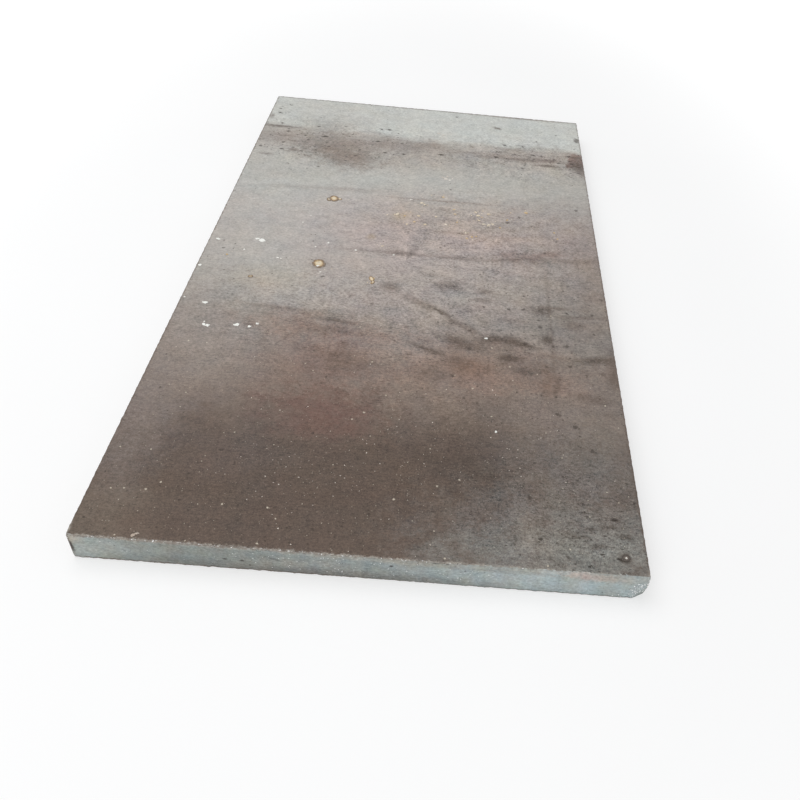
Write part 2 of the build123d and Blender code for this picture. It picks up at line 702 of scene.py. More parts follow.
# %% The grit
GRIT_SEED = 5
GRIT_SWARMS = 30
GRIT_PER_SWARM = 13
GRIT_SIZES = (0.5, 0.6, 0.7, 0.8, 0.9, 1.1, 1.4, 1.8)
SWARMS_ACROSS = (15, 85)  # their middle and their spread, in mm
SWARMS_ALONG = (-245, 62)
SWARM_SPREAD = 22
SIDE_LIMIT = 196
FRONT_LIMIT = -361
BACK_LIMIT = 40
SCALE_LEVEL = THICKNESS - 0.06 * MM


def model_grit():
    """One grain of grit of unit size, with five faces."""
    start_alone()
    bpy.ops.mesh.primitive_cone_add(vertices=4, radius1=0.5, radius2=0, depth=0.5)
    grit = bpy.context.object
    bpy.ops.object.mode_set(mode="EDIT")
    shake_points(0.12, GRIT_SEED)
    bpy.ops.object.mode_set(mode="OBJECT")
    return grit


def on_the_front_half(x, y):
    """A place kept within the front part of the top."""
    return max(-SIDE_LIMIT, min(SIDE_LIMIT, x)), max(FRONT_LIMIT, min(BACK_LIMIT, y))


def lay_grit():
    """Swarms of grit over the front part of the top."""
    draw = random.Random(GRIT_SEED)
    master = model_grit()
    twins = []
    for _ in range(GRIT_SWARMS):
        middle_x, middle_y = draw.gauss(*SWARMS_ACROSS), draw.gauss(*SWARMS_ALONG)
        for _ in range(GRIT_PER_SWARM):
            x, y = draw.gauss(middle_x, SWARM_SPREAD), draw.gauss(middle_y, SWARM_SPREAD)
            x, y = on_the_front_half(x, y)
            size = draw.choice(GRIT_SIZES) * MM
            place = Vector((x * MM, y * MM, SCALE_LEVEL + 0.1 * size))
            tone = draw.random()
            twins.append(lay_copy(master, place, (size, size, size), draw.uniform(0, math.tau), tone))
    return join_as("grit", twins, [master])


grit = lay_grit()

# %% [markdown]
# ### Burrs
#
# The saw leaves bright slivers along the torn arris, and the broken corner shows fresh, glittering
# steel. They have to sit on the roughened skin, so each one is laid on a point of the plate that
# is picked at random from those near the arris or on the front face. Blender can number the
# plate's points differently on the next run, so the burrs don't always lie in the same places.

# %% The burrs
BURR_SEED = 23
OFF_THE_FLOOR = 1.2 * MM
BELOW_THE_TOP = 0.5 * MM
ARRIS_BAND = 1.2 * MM
FRONT_BAND = 6.0 * MM


def near_front_arris(point):
    """True close to the front end's upper arris."""
    return math.hypot(point.y + LENGTH / 2, point.z - THICKNESS) < ARRIS_BAND


def on_front_face(point):
    """True on the sawn front face."""
    return point.y + LENGTH / 2 < FRONT_DEPTH and OFF_THE_FLOOR < point.z < THICKNESS - BELOW_THE_TOP


def on_front_middle(point):
    """True on the middle part of the front face, where the saw has torn the most."""
    return -90 * MM < point.x < 95 * MM and 5 * MM < point.z < 22 * MM and on_front_face(point)


def near_broken_facet(point):
    """True on the facet of the broken corner, and on the front face up to 4 mm from it."""
    place, outward = broken_plane
    return -4 * MM < outward.dot(point - place) < 0.6 * MM and on_front_face(point)


BURRS = (
    # where, how many, shortest and longest, and thinnest and thickest in mm, least brightness
    (near_front_arris, 120, (0.5, 1.9), (0.4, 0.9), 0.0),
    (on_front_face, 110, (0.5, 1.4), (0.4, 0.9), 0.5),
    (on_front_middle, 80, (0.7, 1.6), (0.5, 1.0), 0.85),
    (near_broken_facet, 70, (0.8, 2.4), (0.6, 1.4), 0.85),
)
BRIGHT_SPOTS = (
    # across, height above the floor, size
    (-184.6, 24.4, 1.7), (-141.4, 24.5, 1.2), (-161.3, 11.5, 1.1), (-164.0, 11.8, 0.8),
    (-146.2, 14.0, 1.2), (-60.6, 19.4, 1.6), (-67.5, 16.3, 0.9), (-63.4, 17.5, 0.9),
    (-56.5, 16.5, 1.2), (-53.8, 17.2, 0.9), (-48.3, 19.0, 1.1), (-27.0, 24.6, 1.4),
    (-18.8, 21.0, 1.0), (-16.8, 19.0, 0.9), (-15.4, 22.5, 1.1), (9.2, 17.5, 1.3),
    (13.4, 19.0, 1.1), (23.0, 6.8, 0.9), (36.0, 8.3, 1.2), (60.6, 9.0, 1.3),
    (67.5, 8.5, 1.2), (75.7, 14.0, 1.3), (141.4, 2.0, 1.6), (178.0, 2.0, 2.0), (182.0, 3.0, 1.6),
)


def lay_burrs():
    """Bright slivers on the arris, the sawn face and the broken corner."""
    draw = random.Random(BURR_SEED)
    masters = [model_chip(20 + seed, 0.2) for seed in range(4)]
    points = [vertex.co.copy() for vertex in plate.data.vertices]
    points = [point for point in points if point.y + LENGTH / 2 < FRONT_BAND]
    bits = []
    for wanted, count, lengths, widths, least in BURRS:
        spots = [point for point in points if wanted(point)]
        for spot in draw.sample(spots, min(count, len(spots))):
            tone = max(least, draw.random() ** 3)
            bits.append((spot, draw.uniform(*lengths), draw.uniform(*widths), tone))
    for x, z, size in BRIGHT_SPOTS:
        aim = Vector((x * MM, -LENGTH / 2, z * MM))
        bits.append((min(points, key=lambda point: (point - aim).length), size, 0.8 * size, 1.0))
    twins = []
    for spot, length, width, tone in bits:
        inwards = Vector((-0.3 * width if spot.x > 0 else 0, 0.3 * width, 0)) * MM
        size = (length * MM, width * MM, width * MM)
        twins.append(lay_copy(draw.choice(masters), spot + inwards, size, draw.gauss(0, 0.5), tone))
    return join_as("bright_burrs", twins, masters)


bright_burrs = lay_burrs()

# %% [markdown]
# ## Small tools for node trees
#
# A material here is a sum: a base colour, plus stains, plus grain, plus wear. Written out node by
# node that would fill pages, so a few helpers add one node each and hand on its output. Colours
# are written as they look on screen, and turned into the linear values that shaders work in.

# %% Small tools for node trees
VECTOR = "NodeSocketVector"
FLOAT = "NodeSocketFloat"
COLOR = "NodeSocketColor"


def feed(tree, socket, value):
    """Links an output to a socket, or writes a plain value into it."""
    if isinstance(value, bpy.types.NodeSocket):
        tree.links.new(value, socket)
    else:
        socket.default_value = value


def reckon(tree, operation, *values, clamp=False):
    """One sum of the Math node."""
    node = tree.nodes.new("ShaderNodeMath")
    node.operation = operation
    node.use_clamp = clamp
    for socket, value in zip(node.inputs, values):
        feed(tree, socket, value)
    return node.outputs[0]


def times(tree, value, factor, clamp=False):
    """A value times a factor."""
    return reckon(tree, "MULTIPLY", value, factor, clamp=clamp)


def times_plus(tree, value, factor, rest, clamp=False):
    """A value times a factor, plus the rest."""
    return reckon(tree, "MULTIPLY_ADD", value, factor, rest, clamp=clamp)


def reckon_place(tree, operation, *values):
    """One sum of the Vector Math node."""
    node = tree.nodes.new("ShaderNodeVectorMath")
    node.operation = operation
    for socket, value in zip(node.inputs, values):
        feed(tree, socket, value)
    return node.outputs["Value" if operation == "LENGTH" else "Vector"]


def blend(tree, share, under, over, mode="MIX"):
    """Lays one colour over another, by a share from 0 to 1."""
    node = tree.nodes.new("ShaderNodeMix")
    node.data_type = "RGBA"
    node.blend_type = mode
    feed(tree, node.inputs[0], share)
    feed(tree, node.inputs[6], under)
    feed(tree, node.inputs[7], over)
    return node.outputs[2]


def ease(tree, value, start, end, low=0.0, high=1.0):
    """A soft step: low before start, high after end. It also runs backwards, where end < start."""
    node = tree.nodes.new("ShaderNodeMapRange")
    node.interpolation_type = "SMOOTHSTEP"
    for socket, number in zip(node.inputs, (value, start, end, low, high)):
        feed(tree, socket, number)
    return node.outputs[0]


def noise(tree, place, cell, detail=2.0, rough=0.5):
    """Flat noise with lumps of about a cell across; gives its outputs."""
    node = tree.nodes.new("ShaderNodeTexNoise")
    node.noise_dimensions = "2D"
    scale = 1 / cell if isinstance(cell, float) else reckon(tree, "DIVIDE", 1.0, cell)
    feed(tree, node.inputs["Vector"], place)
    feed(tree, node.inputs["Scale"], scale)
    feed(tree, node.inputs["Detail"], detail)
    feed(tree, node.inputs["Roughness"], rough)
    return node.outputs


def split(tree, place):
    """The three parts of a place."""
    node = tree.nodes.new("ShaderNodeSeparateXYZ")
    feed(tree, node.inputs[0], place)
    return node.outputs


def combine(tree, x, y, z=0.0):
    """A place from its three parts."""
    node = tree.nodes.new("ShaderNodeCombineXYZ")
    for socket, value in zip(node.inputs, (x, y, z)):
        feed(tree, socket, value)
    return node.outputs[0]


def new_group(name, inputs, outputs, **defaults):
    """An empty node group with named sockets; gives its tree, its inputs and its outputs."""
    tree = bpy.data.node_groups.new(name, "ShaderNodeTree")
    for direction, sockets in (("INPUT", inputs), ("OUTPUT", outputs)):
        for socket_name, kind in sockets.items():
            socket = tree.interface.new_socket(socket_name, in_out=direction, socket_type=kind)
            if socket_name.lower() in defaults:
                socket.default_value = defaults[socket_name.lower()]
    given = tree.nodes.new("NodeGroupInput").outputs
    result = tree.nodes.new("NodeGroupOutput").inputs
    return tree, given, result


def use(tree, group, **values):
    """Places a node group in a tree, feeds its sockets by name, and gives its outputs."""
    node = tree.nodes.new("ShaderNodeGroup")
    node.node_tree = group
    for name, value in values.items():
        feed(tree, node.inputs[name.capitalize()], value)
    return node.outputs


def linear(level):
    """The linear value of a screen level from 0 to 255, by the sRGB curve."""
    level /= 255
    return level / 12.92 if level <= 0.04045 else ((level + 0.055) / 1.055) ** 2.4


def paint(red, green, blue):
    """A colour as it looks on screen, 0 to 255 each, as linear values with full alpha."""
    return linear(red), linear(green), linear(blue), 1.0


def start_material(name):
    """A new material with an empty Principled shader; gives it, its tree and its shader."""
    material = bpy.data.materials.new(name)
    material.use_nodes = True
    tree = material.node_tree
    return material, tree, tree.nodes["Principled BSDF"]


def millimetres(tree):
    """The place on the object in millimetres."""
    node = tree.nodes.new("ShaderNodeTexCoord")
    return reckon_place(tree, "MULTIPLY", node.outputs["Object"], (1000, 1000, 1000))


def run_ramp(tree, value, stops):
    """A colour ramp with the given stops, each a position and a colour."""
    ramp = tree.nodes.new("ShaderNodeValToRGB")
    marks = ramp.color_ramp.elements
    while len(marks) < len(stops):
        marks.new(0.5)
    for mark, (position, colour) in zip(marks, stops):
        mark.position = position
        mark.color = colour
    feed(tree, ramp.inputs[0], value)
    return ramp.outputs[0]


def raise_bumps(tree, shader, height, strength=1.0):
    """Feeds a height in millimetres to the shader's normal."""
    node = tree.nodes.new("ShaderNodeBump")
    node.inputs["Strength"].default_value = strength
    node.inputs["Distance"].default_value = MM
    feed(tree, node.inputs["Height"], height)
    tree.links.new(node.outputs[0], shader.inputs["Normal"])


def cover(tree, shader, colour, surface, metallic):
    """Feeds a shader its colour and metallic, and the roughness and height of a surface group."""
    feed(tree, shader.inputs["Base Color"], colour)
    feed(tree, shader.inputs["Roughness"], surface["Roughness"])
    feed(tree, shader.inputs["Metallic"], metallic)
    raise_bumps(tree, shader, surface["Height"])


# %% [markdown]
# ## The steel's palette
#
# Mill scale isn't one grey. Where it is thick it is a cool pale grey-green, where it has begun to
# rust it is brown or reddish, and where it has flaked or held water it is nearly black. The same
# two dozen named colours serve every stain, band and speck on the steel.

# %% The steel's palette
PALETTE = {
    # pale lies only at the far end, and is partly the scale's own colour and partly painted sheen
    "pale": paint(200, 201, 196),
    "green_grey": paint(186, 187, 182),
    "grey": paint(186, 184, 178),
    "dust": paint(172, 165, 158),
    "pink_grey": paint(177, 164, 160),
    "taupe": paint(146, 136, 129),
    "brown": paint(126, 112, 102),
    "red_brown": paint(118, 92, 83),
    "mauve": paint(104, 94, 90),
    "umber": paint(97, 83, 74),
    "wine": paint(112, 86, 78),
    "sienna": paint(124, 100, 84),
    "rosewood": paint(138, 116, 104),
    "lilac": paint(138, 128, 123),
    "olive": paint(126, 117, 104),
    "moss": paint(146, 147, 141),
    "soot": paint(76, 65, 57),
    "pit": paint(54, 46, 40),
    "slate": paint(125, 120, 115),
    "ochre": paint(168, 148, 118),
    "cream": paint(226, 216, 196),
    "bare": paint(172, 177, 172),
    "bright": paint(184, 193, 193),
    "buff": paint(176, 170, 160),
    "rose": paint(188, 172, 164),
}

# %% [markdown]
# ## Shared effects
#
# These node groups are built once and used by several materials. The first shifts a place about
# with noise, so that whatever is drawn there gets a wandering outline. The second is plain clouds
# around zero. The third draws one stain, a soft and frayed ellipse. Turning it costs time at every
# sample, so the few turned stains have a group of their own. The next strews round specks, and the
# last finds the arrises, where handling rubs the scale off.

# %% Wander and clouds


def make_wander():
    """Shifts a place by up to Reach, in lumps of Cell."""
    tree, given, result = new_group(
        "wander", {"Place": VECTOR, "Cell": FLOAT, "Reach": FLOAT}, {"Place": VECTOR}
    )
    lumps = noise(tree, given["Place"], given["Cell"], 3.0)
    centred = reckon_place(tree, "SUBTRACT", lumps["Color"], (0.5, 0.5, 0.5))
    reach = times(tree, given["Reach"], 2.0)
    shift = reckon_place(tree, "MULTIPLY", centred, combine(tree, reach, reach, reach))
    feed(tree, result["Place"], reckon_place(tree, "ADD", given["Place"], shift))
    return tree


def make_clouds():
    """Clouds in lumps of Cell, from about -0.5 to 0.5, drawn out by Stretch, fine where Rough."""
    tree, given, result = new_group(
        "clouds",
        {"Place": VECTOR, "Cell": FLOAT, "Stretch": VECTOR, "Detail": FLOAT, "Rough": FLOAT},
        {"Value": FLOAT},
        stretch=(1.0, 1.0, 1.0), detail=4.0, rough=0.65,
    )
    drawn_out = reckon_place(tree, "DIVIDE", given["Place"], given["Stretch"])
    lumps = noise(tree, drawn_out, given["Cell"], given["Detail"], given["Rough"])
    feed(tree, result["Value"], reckon(tree, "SUBTRACT", lumps["Fac"], 0.5))
    return tree


wander = make_wander()
clouds = make_clouds()
print("groups", wander.name, clouds.name)


def stray(tree, place, cell, reach):
    """A place that strays by up to reach, in lumps of a cell."""
    return use(tree, wander, place=place, cell=cell, reach=reach)["Place"]


def cloud(tree, place, cell, along=1.0, across=1.0, **fineness):
    """Clouds around zero in lumps of a cell, drawn out along and across."""
    return use(tree, clouds, place=place, cell=cell, stretch=(along, across, 1.0), **fineness)["Value"]

# %% Stains, specks and arris wear


FAR_AWAY = 1000


def make_stain(name, turned):
    """An ellipse: Strength inside, 0 outside, Soft at its outline, which Fray times Rag tears."""
    sockets = {
        "Place": VECTOR, "Centre": VECTOR, "Size": VECTOR,
        "Soft": FLOAT, "Fray": FLOAT, "Rag": FLOAT, "Strength": FLOAT,
    }
    if turned:
        sockets["Turn"] = FLOAT
    tree, given, result = new_group(name, sockets, {"Mask": FLOAT})
    offset = reckon_place(tree, "SUBTRACT", given["Place"], given["Centre"])
    if turned:
        turning = tree.nodes.new("ShaderNodeVectorRotate")
        turning.rotation_type = "Z_AXIS"
        feed(tree, turning.inputs["Vector"], offset)
        feed(tree, turning.inputs["Angle"], times(tree, given["Turn"], -1.0))
        offset = turning.outputs[0]
    flat = reckon_place(tree, "DIVIDE", offset, given["Size"])
    from_centre = reckon_place(tree, "LENGTH", flat)
    away = times_plus(tree, given["Fray"], given["Rag"], from_centre)
    outer = reckon(tree, "ADD", 1.0, given["Soft"])
    inner = reckon(tree, "SUBTRACT", 1.0, given["Soft"])
    feed(tree, result["Mask"], ease(tree, away, outer, inner, 0.0, given["Strength"]))
    return tree


def make_specks():
    """Round specks on a flat place, one per Spacing at most, in a Share of the cells."""
    tree, given, result = new_group(
        "specks", {"Place": VECTOR, "Spacing": FLOAT, "Size": FLOAT, "Share": FLOAT}, {"Mask": FLOAT}
    )
    cells = tree.nodes.new("ShaderNodeTexVoronoi")
    cells.voronoi_dimensions = "2D"
    torn = stray(tree, given["Place"], times(tree, given["Size"], 1.5), given["Size"])
    feed(tree, cells.inputs["Vector"], torn)
    feed(tree, cells.inputs["Scale"], reckon(tree, "DIVIDE", 1.0, given["Spacing"]))
    chance, tone, _ = split(tree, cells.outputs["Color"])
    chosen = reckon(tree, "LESS_THAN", chance, given["Share"])
    away = times(tree, cells.outputs["Distance"], given["Spacing"])
    odds = reckon(tree, "POWER", tone, 2.5)
    reach = times(tree, given["Size"], times_plus(tree, odds, 1.3, 0.35))
    dot = ease(tree, away, reach, times(tree, reach, 0.3))
    feed(tree, result["Mask"], times(tree, dot, chosen))
    return tree


def make_arris_wear():
    """1 on the plate's arrises and 0 beyond Reach, with a frayed edge."""
    tree, given, result = new_group(
        "arris_wear", {"Place": VECTOR, "Reach": FLOAT, "Fray": FLOAT}, {"Mask": FLOAT}
    )
    x, y, z = split(tree, given["Place"])
    to_side = reckon(tree, "SUBTRACT", WIDTH / 2 / MM, reckon(tree, "ABSOLUTE", x))
    to_end = reckon(tree, "SUBTRACT", LENGTH / 2 / MM, reckon(tree, "ABSOLUTE", y))
    from_middle = reckon(tree, "ABSOLUTE", reckon(tree, "SUBTRACT", z, THICKNESS / 2 / MM))
    to_face = reckon(tree, "SUBTRACT", THICKNESS / 2 / MM, from_middle)
    smaller = reckon(tree, "MINIMUM", to_side, to_end)
    larger = reckon(tree, "MAXIMUM", to_side, to_end)
    second = reckon(tree, "MAXIMUM", smaller, reckon(tree, "MINIMUM", larger, to_face))
    frayed = reckon(tree, "ADD", second, given["Fray"])
    feed(tree, result["Mask"], ease(tree, frayed, given["Reach"], 0.0))
    return tree


def draw_stain(tree, place, fray, level, x, y, across, high, turn, soft, rag, strength):
    """The mask of one stain, in millimetres and degrees."""
    shape = {"centre": (x, y, level), "size": (across, high, FAR_AWAY), "soft": soft, "rag": rag}
    if turn:
        shape["turn"] = math.radians(turn)
    group = turned_stain if turn else stain
    return use(tree, group, place=place, fray=fray, strength=strength, **shape)["Mask"]


def strew(tree, place, spacing, size, share):
    """The mask of round specks, strewn over a place."""
    return use(tree, specks, place=place, spacing=spacing, size=size, share=share)["Mask"]


def rub(tree, place, reach, rags, raggedness):
    """The mask of the rubbed arrises, whose inner edge is as ragged as rags."""
    fray = times(tree, rags, raggedness)
    return use(tree, arris_wear, place=place, reach=reach, fray=fray)["Mask"]


stain = make_stain("stain", False)
turned_stain = make_stain("turned_stain", True)
specks = make_specks()
arris_wear = make_arris_wear()
print("groups", [group.name for group in bpy.data.node_groups])

# %% [markdown]
# ### The scale's own texture
#
# Seen close, mill scale is stippled: broad lumps, small blotches, a sandy grain and faint drag
# lines from the rollers. Rust pits lie in it and pale dust on it. This group takes the colour
# that a place should have and adds all of that, with a matching roughness and height. Pits and
# Dust say how thickly either is strewn.

# %% The scale's own texture


def shade_by(tree, colour, shade, warmth=0.0, green=0.0):
    """Lightens or darkens a colour by shade, around 1, and turns it by warmth and green, around 0."""
    red = reckon(tree, "ADD", shade, warmth)
    middle = reckon(tree, "ADD", shade, green)
    blue = reckon(tree, "SUBTRACT", shade, warmth)
    return blend(tree, 1.0, colour, combine(tree, red, middle, blue), "MULTIPLY")


def drifting_hues(tree, place, cell, warm_reach, green_reach):
    """Warmth and green that drift slowly from place to place."""
    hues = noise(tree, place, cell, 3.0, 0.55)["Color"]
    drift = reckon_place(tree, "SUBTRACT", hues, (0.5, 0.5, 0.5))
    first, second, _ = split(tree, drift)
    return times(tree, first, warm_reach), times(tree, second, green_reach)


def make_mill_scale():
    """Adds lumps, grain, drag lines, pits and dust to a colour, with roughness and height."""
    tree, given, result = new_group(
        "mill_scale",
        {"Colour": COLOR, "Place": VECTOR, "Grime": FLOAT, "Pits": FLOAT, "Dust": FLOAT},
        {"Colour": COLOR, "Roughness": FLOAT, "Height": FLOAT},
    )
    place = given["Place"]
    lumps = cloud(tree, place, 34.0, detail=3.0)
    blotches = cloud(tree, place, 9.0, 1.2, rough=0.85)
    grain = cloud(tree, place, 2.0, 1.5, detail=3.0, rough=0.7)
    drags = cloud(tree, place, 2.6, 11.0, detail=3.0)
    sand = cloud(tree, place, 1.1, detail=1.0)

    mottle = times(tree, blotches, 0.95)
    mottle = times_plus(tree, grain, 1.1, mottle)
    mottle = times_plus(tree, drags, 0.22, mottle)
    sharpness = times_plus(tree, given["Dust"], 3.0, 0.3)
    mottle = times_plus(tree, sand, sharpness, mottle)
    shade = times_plus(tree, mottle, reckon(tree, "ADD", 0.5, given["Grime"]), 1.0)
    lump_share = times_plus(tree, given["Grime"], 0.4, 0.15)
    shade = times_plus(tree, lumps, lump_share, shade)
    warm_reach = times_plus(tree, given["Grime"], 0.12, 0.05)
    green_reach = times_plus(tree, given["Grime"], 0.06, 0.02)
    warmth, green = drifting_hues(tree, place, 36.0, warm_reach, green_reach)
    colour = shade_by(tree, given["Colour"], shade, warmth, green)

    small_pits = strew(tree, place, 4.2, 0.9, given["Pits"])
    wide_share = times(tree, given["Pits"], 1.2)
    wide_pits = strew(tree, place, 13.0, 2.1, wide_share)
    pits = reckon(tree, "MAXIMUM", small_pits, wide_pits)
    colour = blend(tree, times(tree, pits, 0.62), colour, PALETTE["pit"])
    fine = strew(tree, place, 2.4, 0.36, given["Dust"])
    coarse = strew(tree, place, 8.0, 0.75, given["Dust"])
    dust = reckon(tree, "MAXIMUM", times(tree, fine, 0.5), coarse)
    colour = blend(tree, times(tree, dust, 0.65), colour, PALETTE["cream"])
    feed(tree, result["Colour"], colour)

    rough = times_plus(tree, blotches, 0.3, 0.55)
    feed(tree, result["Roughness"], reckon(tree, "MAXIMUM", rough, 0.35))
    height = times(tree, blotches, 0.12)
    feed(tree, result["Height"], times_plus(tree, grain, 0.09, height))
    return tree


mill_scale = make_mill_scale()

# %% [markdown]
# ## The top
#
# The colour runs in bands along the plate: cool and pale at the far end, warmer towards the
# middle, and dark at the front, where water stood. Over the bands lie stains, each placed
# after the photograph, from wide faint blooms to narrow black marks. Broad stains follow a place
# that wanders by several millimetres, and small marks one that wanders by less, so that they stay
# where they belong. Three short lists of zones say where the scale is pitted, where short dark
# dashes lie in it and where it is grimy.

# %% The bands along the top
# The pale bands at the far end are partly the scale's own colour and partly painted sheen, the glancing
# reflection of the bright sky.
BANDS = (
    (-365, "umber"), (-262, "umber"), (-215, "brown"), (-120, "taupe"), (-40, "dust"),
    (60, "pink_grey"), (165, "grey"), (235, "dust"), (268, "dust"), (284, "pale"), (365, "pale"),
)


def lay_bands(tree, along):
    """The colour bands by the distance along the plate, in millimetres; the pale far end is partly
    painted sheen.
    """
    share = tree.nodes.new("ShaderNodeMapRange")
    low, high = BANDS[0][0], BANDS[-1][0]
    for socket, value in zip(share.inputs, (along, low, high, 0.0, 1.0)):
        feed(tree, socket, value)
    stops = [((y - low) / (high - low), PALETTE[name]) for y, name in BANDS]
    return run_ramp(tree, share.outputs[0], stops)


# %% The stains, broad and narrow
BROAD_STAINS = (
    # x, y, half width, half length, turn, softness, fray, colour, strength
    (-150, 70, 80, 150, 0, 0.9, 0.8, "green_grey", 0.65),
    (175, 10, 80, 150, 0, 0.9, 1.0, "taupe", 0.65),
    (185, -90, 60, 60, 0, 0.9, 1.2, "slate", 0.6),
    (-105, 240, 50, 26, 0, 0.7, 2.2, "taupe", 0.8),
    (-100, 228, 44, 32, -25, 0.7, 2.6, "brown", 0.55),
    (-122, 285, 24, 14, 0, 0.8, 2.2, "taupe", 0.5),
    (-84, 206, 34, 21, 0, 0.7, 2.6, "brown", 0.7),
    (2, 212, 44, 14, 0, 0.9, 2.4, "dust", 0.7),
    (-172, 250, 36, 15, -3, 0.9, 2.0, "taupe", 0.75),
    (-20, 252, 66, 13, 2, 0.7, 2.4, "taupe", 0.75),
    (-5, 232, 60, 14, 0, 0.9, 2.0, "dust", 0.6),
    (108, 246, 56, 7, -2, 0.8, 2.6, "brown", 0.45),
    (150, 254, 40, 8, -2, 0.8, 2.6, "taupe", 0.4),
    (192, 253, 14, 19, 0, 0.35, 2.0, "red_brown", 0.8),
    (-146, 260, 22, 5, -40, 0.8, 2.4, "olive", 0.5),
    (196, 235, 12, 16, 0, 0.6, 2.0, "umber", 0.6),
    (62, 266, 26, 10, 0, 0.9, 1.8, "grey", 0.6),
    (-110, 155, 90, 30, 6, 0.9, 1.4, "green_grey", 0.3),
    (-150, 166, 56, 20, 0, 0.9, 1.8, "dust", 0.4),
    (-190, 12, 40, 60, 0, 0.9, 1.8, "dust", 0.35),
    (60, -36, 110, 22, 0, 0.9, 2.0, "taupe", 0.35),
    (36, -86, 60, 28, 0, 0.9, 2.0, "taupe", 0.4),
    (100, 190, 90, 26, 0, 0.9, 1.4, "grey", 0.4),
    (-10, 0, 95, 110, 0, 0.9, 1.0, "pink_grey", 0.4),
    (40, 85, 66, 40, 0, 0.9, 1.6, "ochre", 0.22),
    (133, 28, 34, 7, 11, 0.8, 2.6, "red_brown", 0.55),
    (160, 22, 42, 5, 8, 0.9, 2.6, "brown", 0.6),
    (-130, -50, 34, 16, 0, 0.9, 2.0, "ochre", 0.25),
    (-80, -108, 72, 14, -4, 0.9, 2.2, "brown", 0.35),
    (-62, -120, 58, 10, -3, 0.9, 2.4, "red_brown", 0.15),
    (192, -50, 22, 46, 0, 0.9, 1.6, "brown", 0.4),
    (-62, -166, 50, 38, 0, 0.9, 2.4, "red_brown", 0.65),
    (-37, -160, 18, 13, 0, 0.9, 2.8, "umber", 0.6),
    (2, -166, 14, 8, 0, 0.9, 2.8, "umber", 0.4),
    (10, -148, 26, 14, 0, 0.9, 2.4, "dust", 0.4),
    (-150, -235, 30, 18, 0, 0.9, 2.2, "umber", 0.45),
    (-110, -270, 46, 30, 0, 0.9, 2.2, "mauve", 0.45),
    (95, -262, 40, 34, 0, 0.9, 2.2, "mauve", 0.4),
    (25, -290, 24, 40, 0, 0.9, 2.2, "umber", 0.4),
    (97, -206, 24, 13, 0, 0.9, 2.6, "umber", 0.45),
    (60, -160, 84, 30, 0, 0.9, 2.2, "rosewood", 0.75),
    (110, -168, 50, 14, 0, 0.9, 2.4, "rosewood", 0.6),
    (-80, -118, 60, 14, -4, 0.9, 2.4, "rosewood", 0.5),
    (160, -150, 50, 14, 0, 0.9, 2.4, "brown", 0.5),
    (136, -178, 8, 26, 0, 0.9, 2.0, "sienna", 0.5),
    (-150, -165, 52, 28, 0, 0.9, 1.6, "taupe", 0.5),
    (-178, -110, 30, 60, 0, 0.9, 1.6, "taupe", 0.5),
    (20, -205, 34, 24, 0, 0.9, 1.6, "brown", 0.4),
    (-45, -229, 42, 24, 0, 0.8, 2.2, "wine", 0.95),
    (70, -262, 36, 40, 0, 0.9, 1.4, "soot", 0.5),
    (-40, -300, 120, 60, 0, 0.9, 1.2, "soot", 0.28),
    (-190, -255, 26, 56, 0, 0.9, 1.6, "lilac", 0.55),
    (-184, -345, 26, 28, 0, 0.9, 1.6, "olive", 0.35),
    (140, -345, 84, 46, 0, 0.8, 2.0, "slate", 0.85),
    (135, -350, 70, 17, 3, 0.8, 2.4, "moss", 0.42),
    (182, -338, 34, 24, 0, 0.9, 2.4, "moss", 0.4),
    (165, -262, 52, 50, 0, 0.9, 1.4, "slate", 0.7),
    (-132, 325, 90, 55, 0, 0.9, 1.6, "grey", 0.55),
    (-115, 300, 40, 20, 0, 0.9, 2.0, "dust", 0.4),
    (20, 296, 30, 14, 0, 0.8, 2.2, "cream", 0.08),
    (130, 278, 44, 8, 0, 0.9, 2.0, "green_grey", 0.55),
    (12, 275, 24, 9, 0, 0.9, 2.0, "dust", 0.4),
    (-170, -212, 40, 24, 0, 0.9, 1.6, "lilac", 0.35),
    (128, -208, 34, 18, 0, 0.9, 1.6, "lilac", 0.3),
    (194, 20, 22, 62, 0, 0.9, 1.6, "brown", 0.3),
)
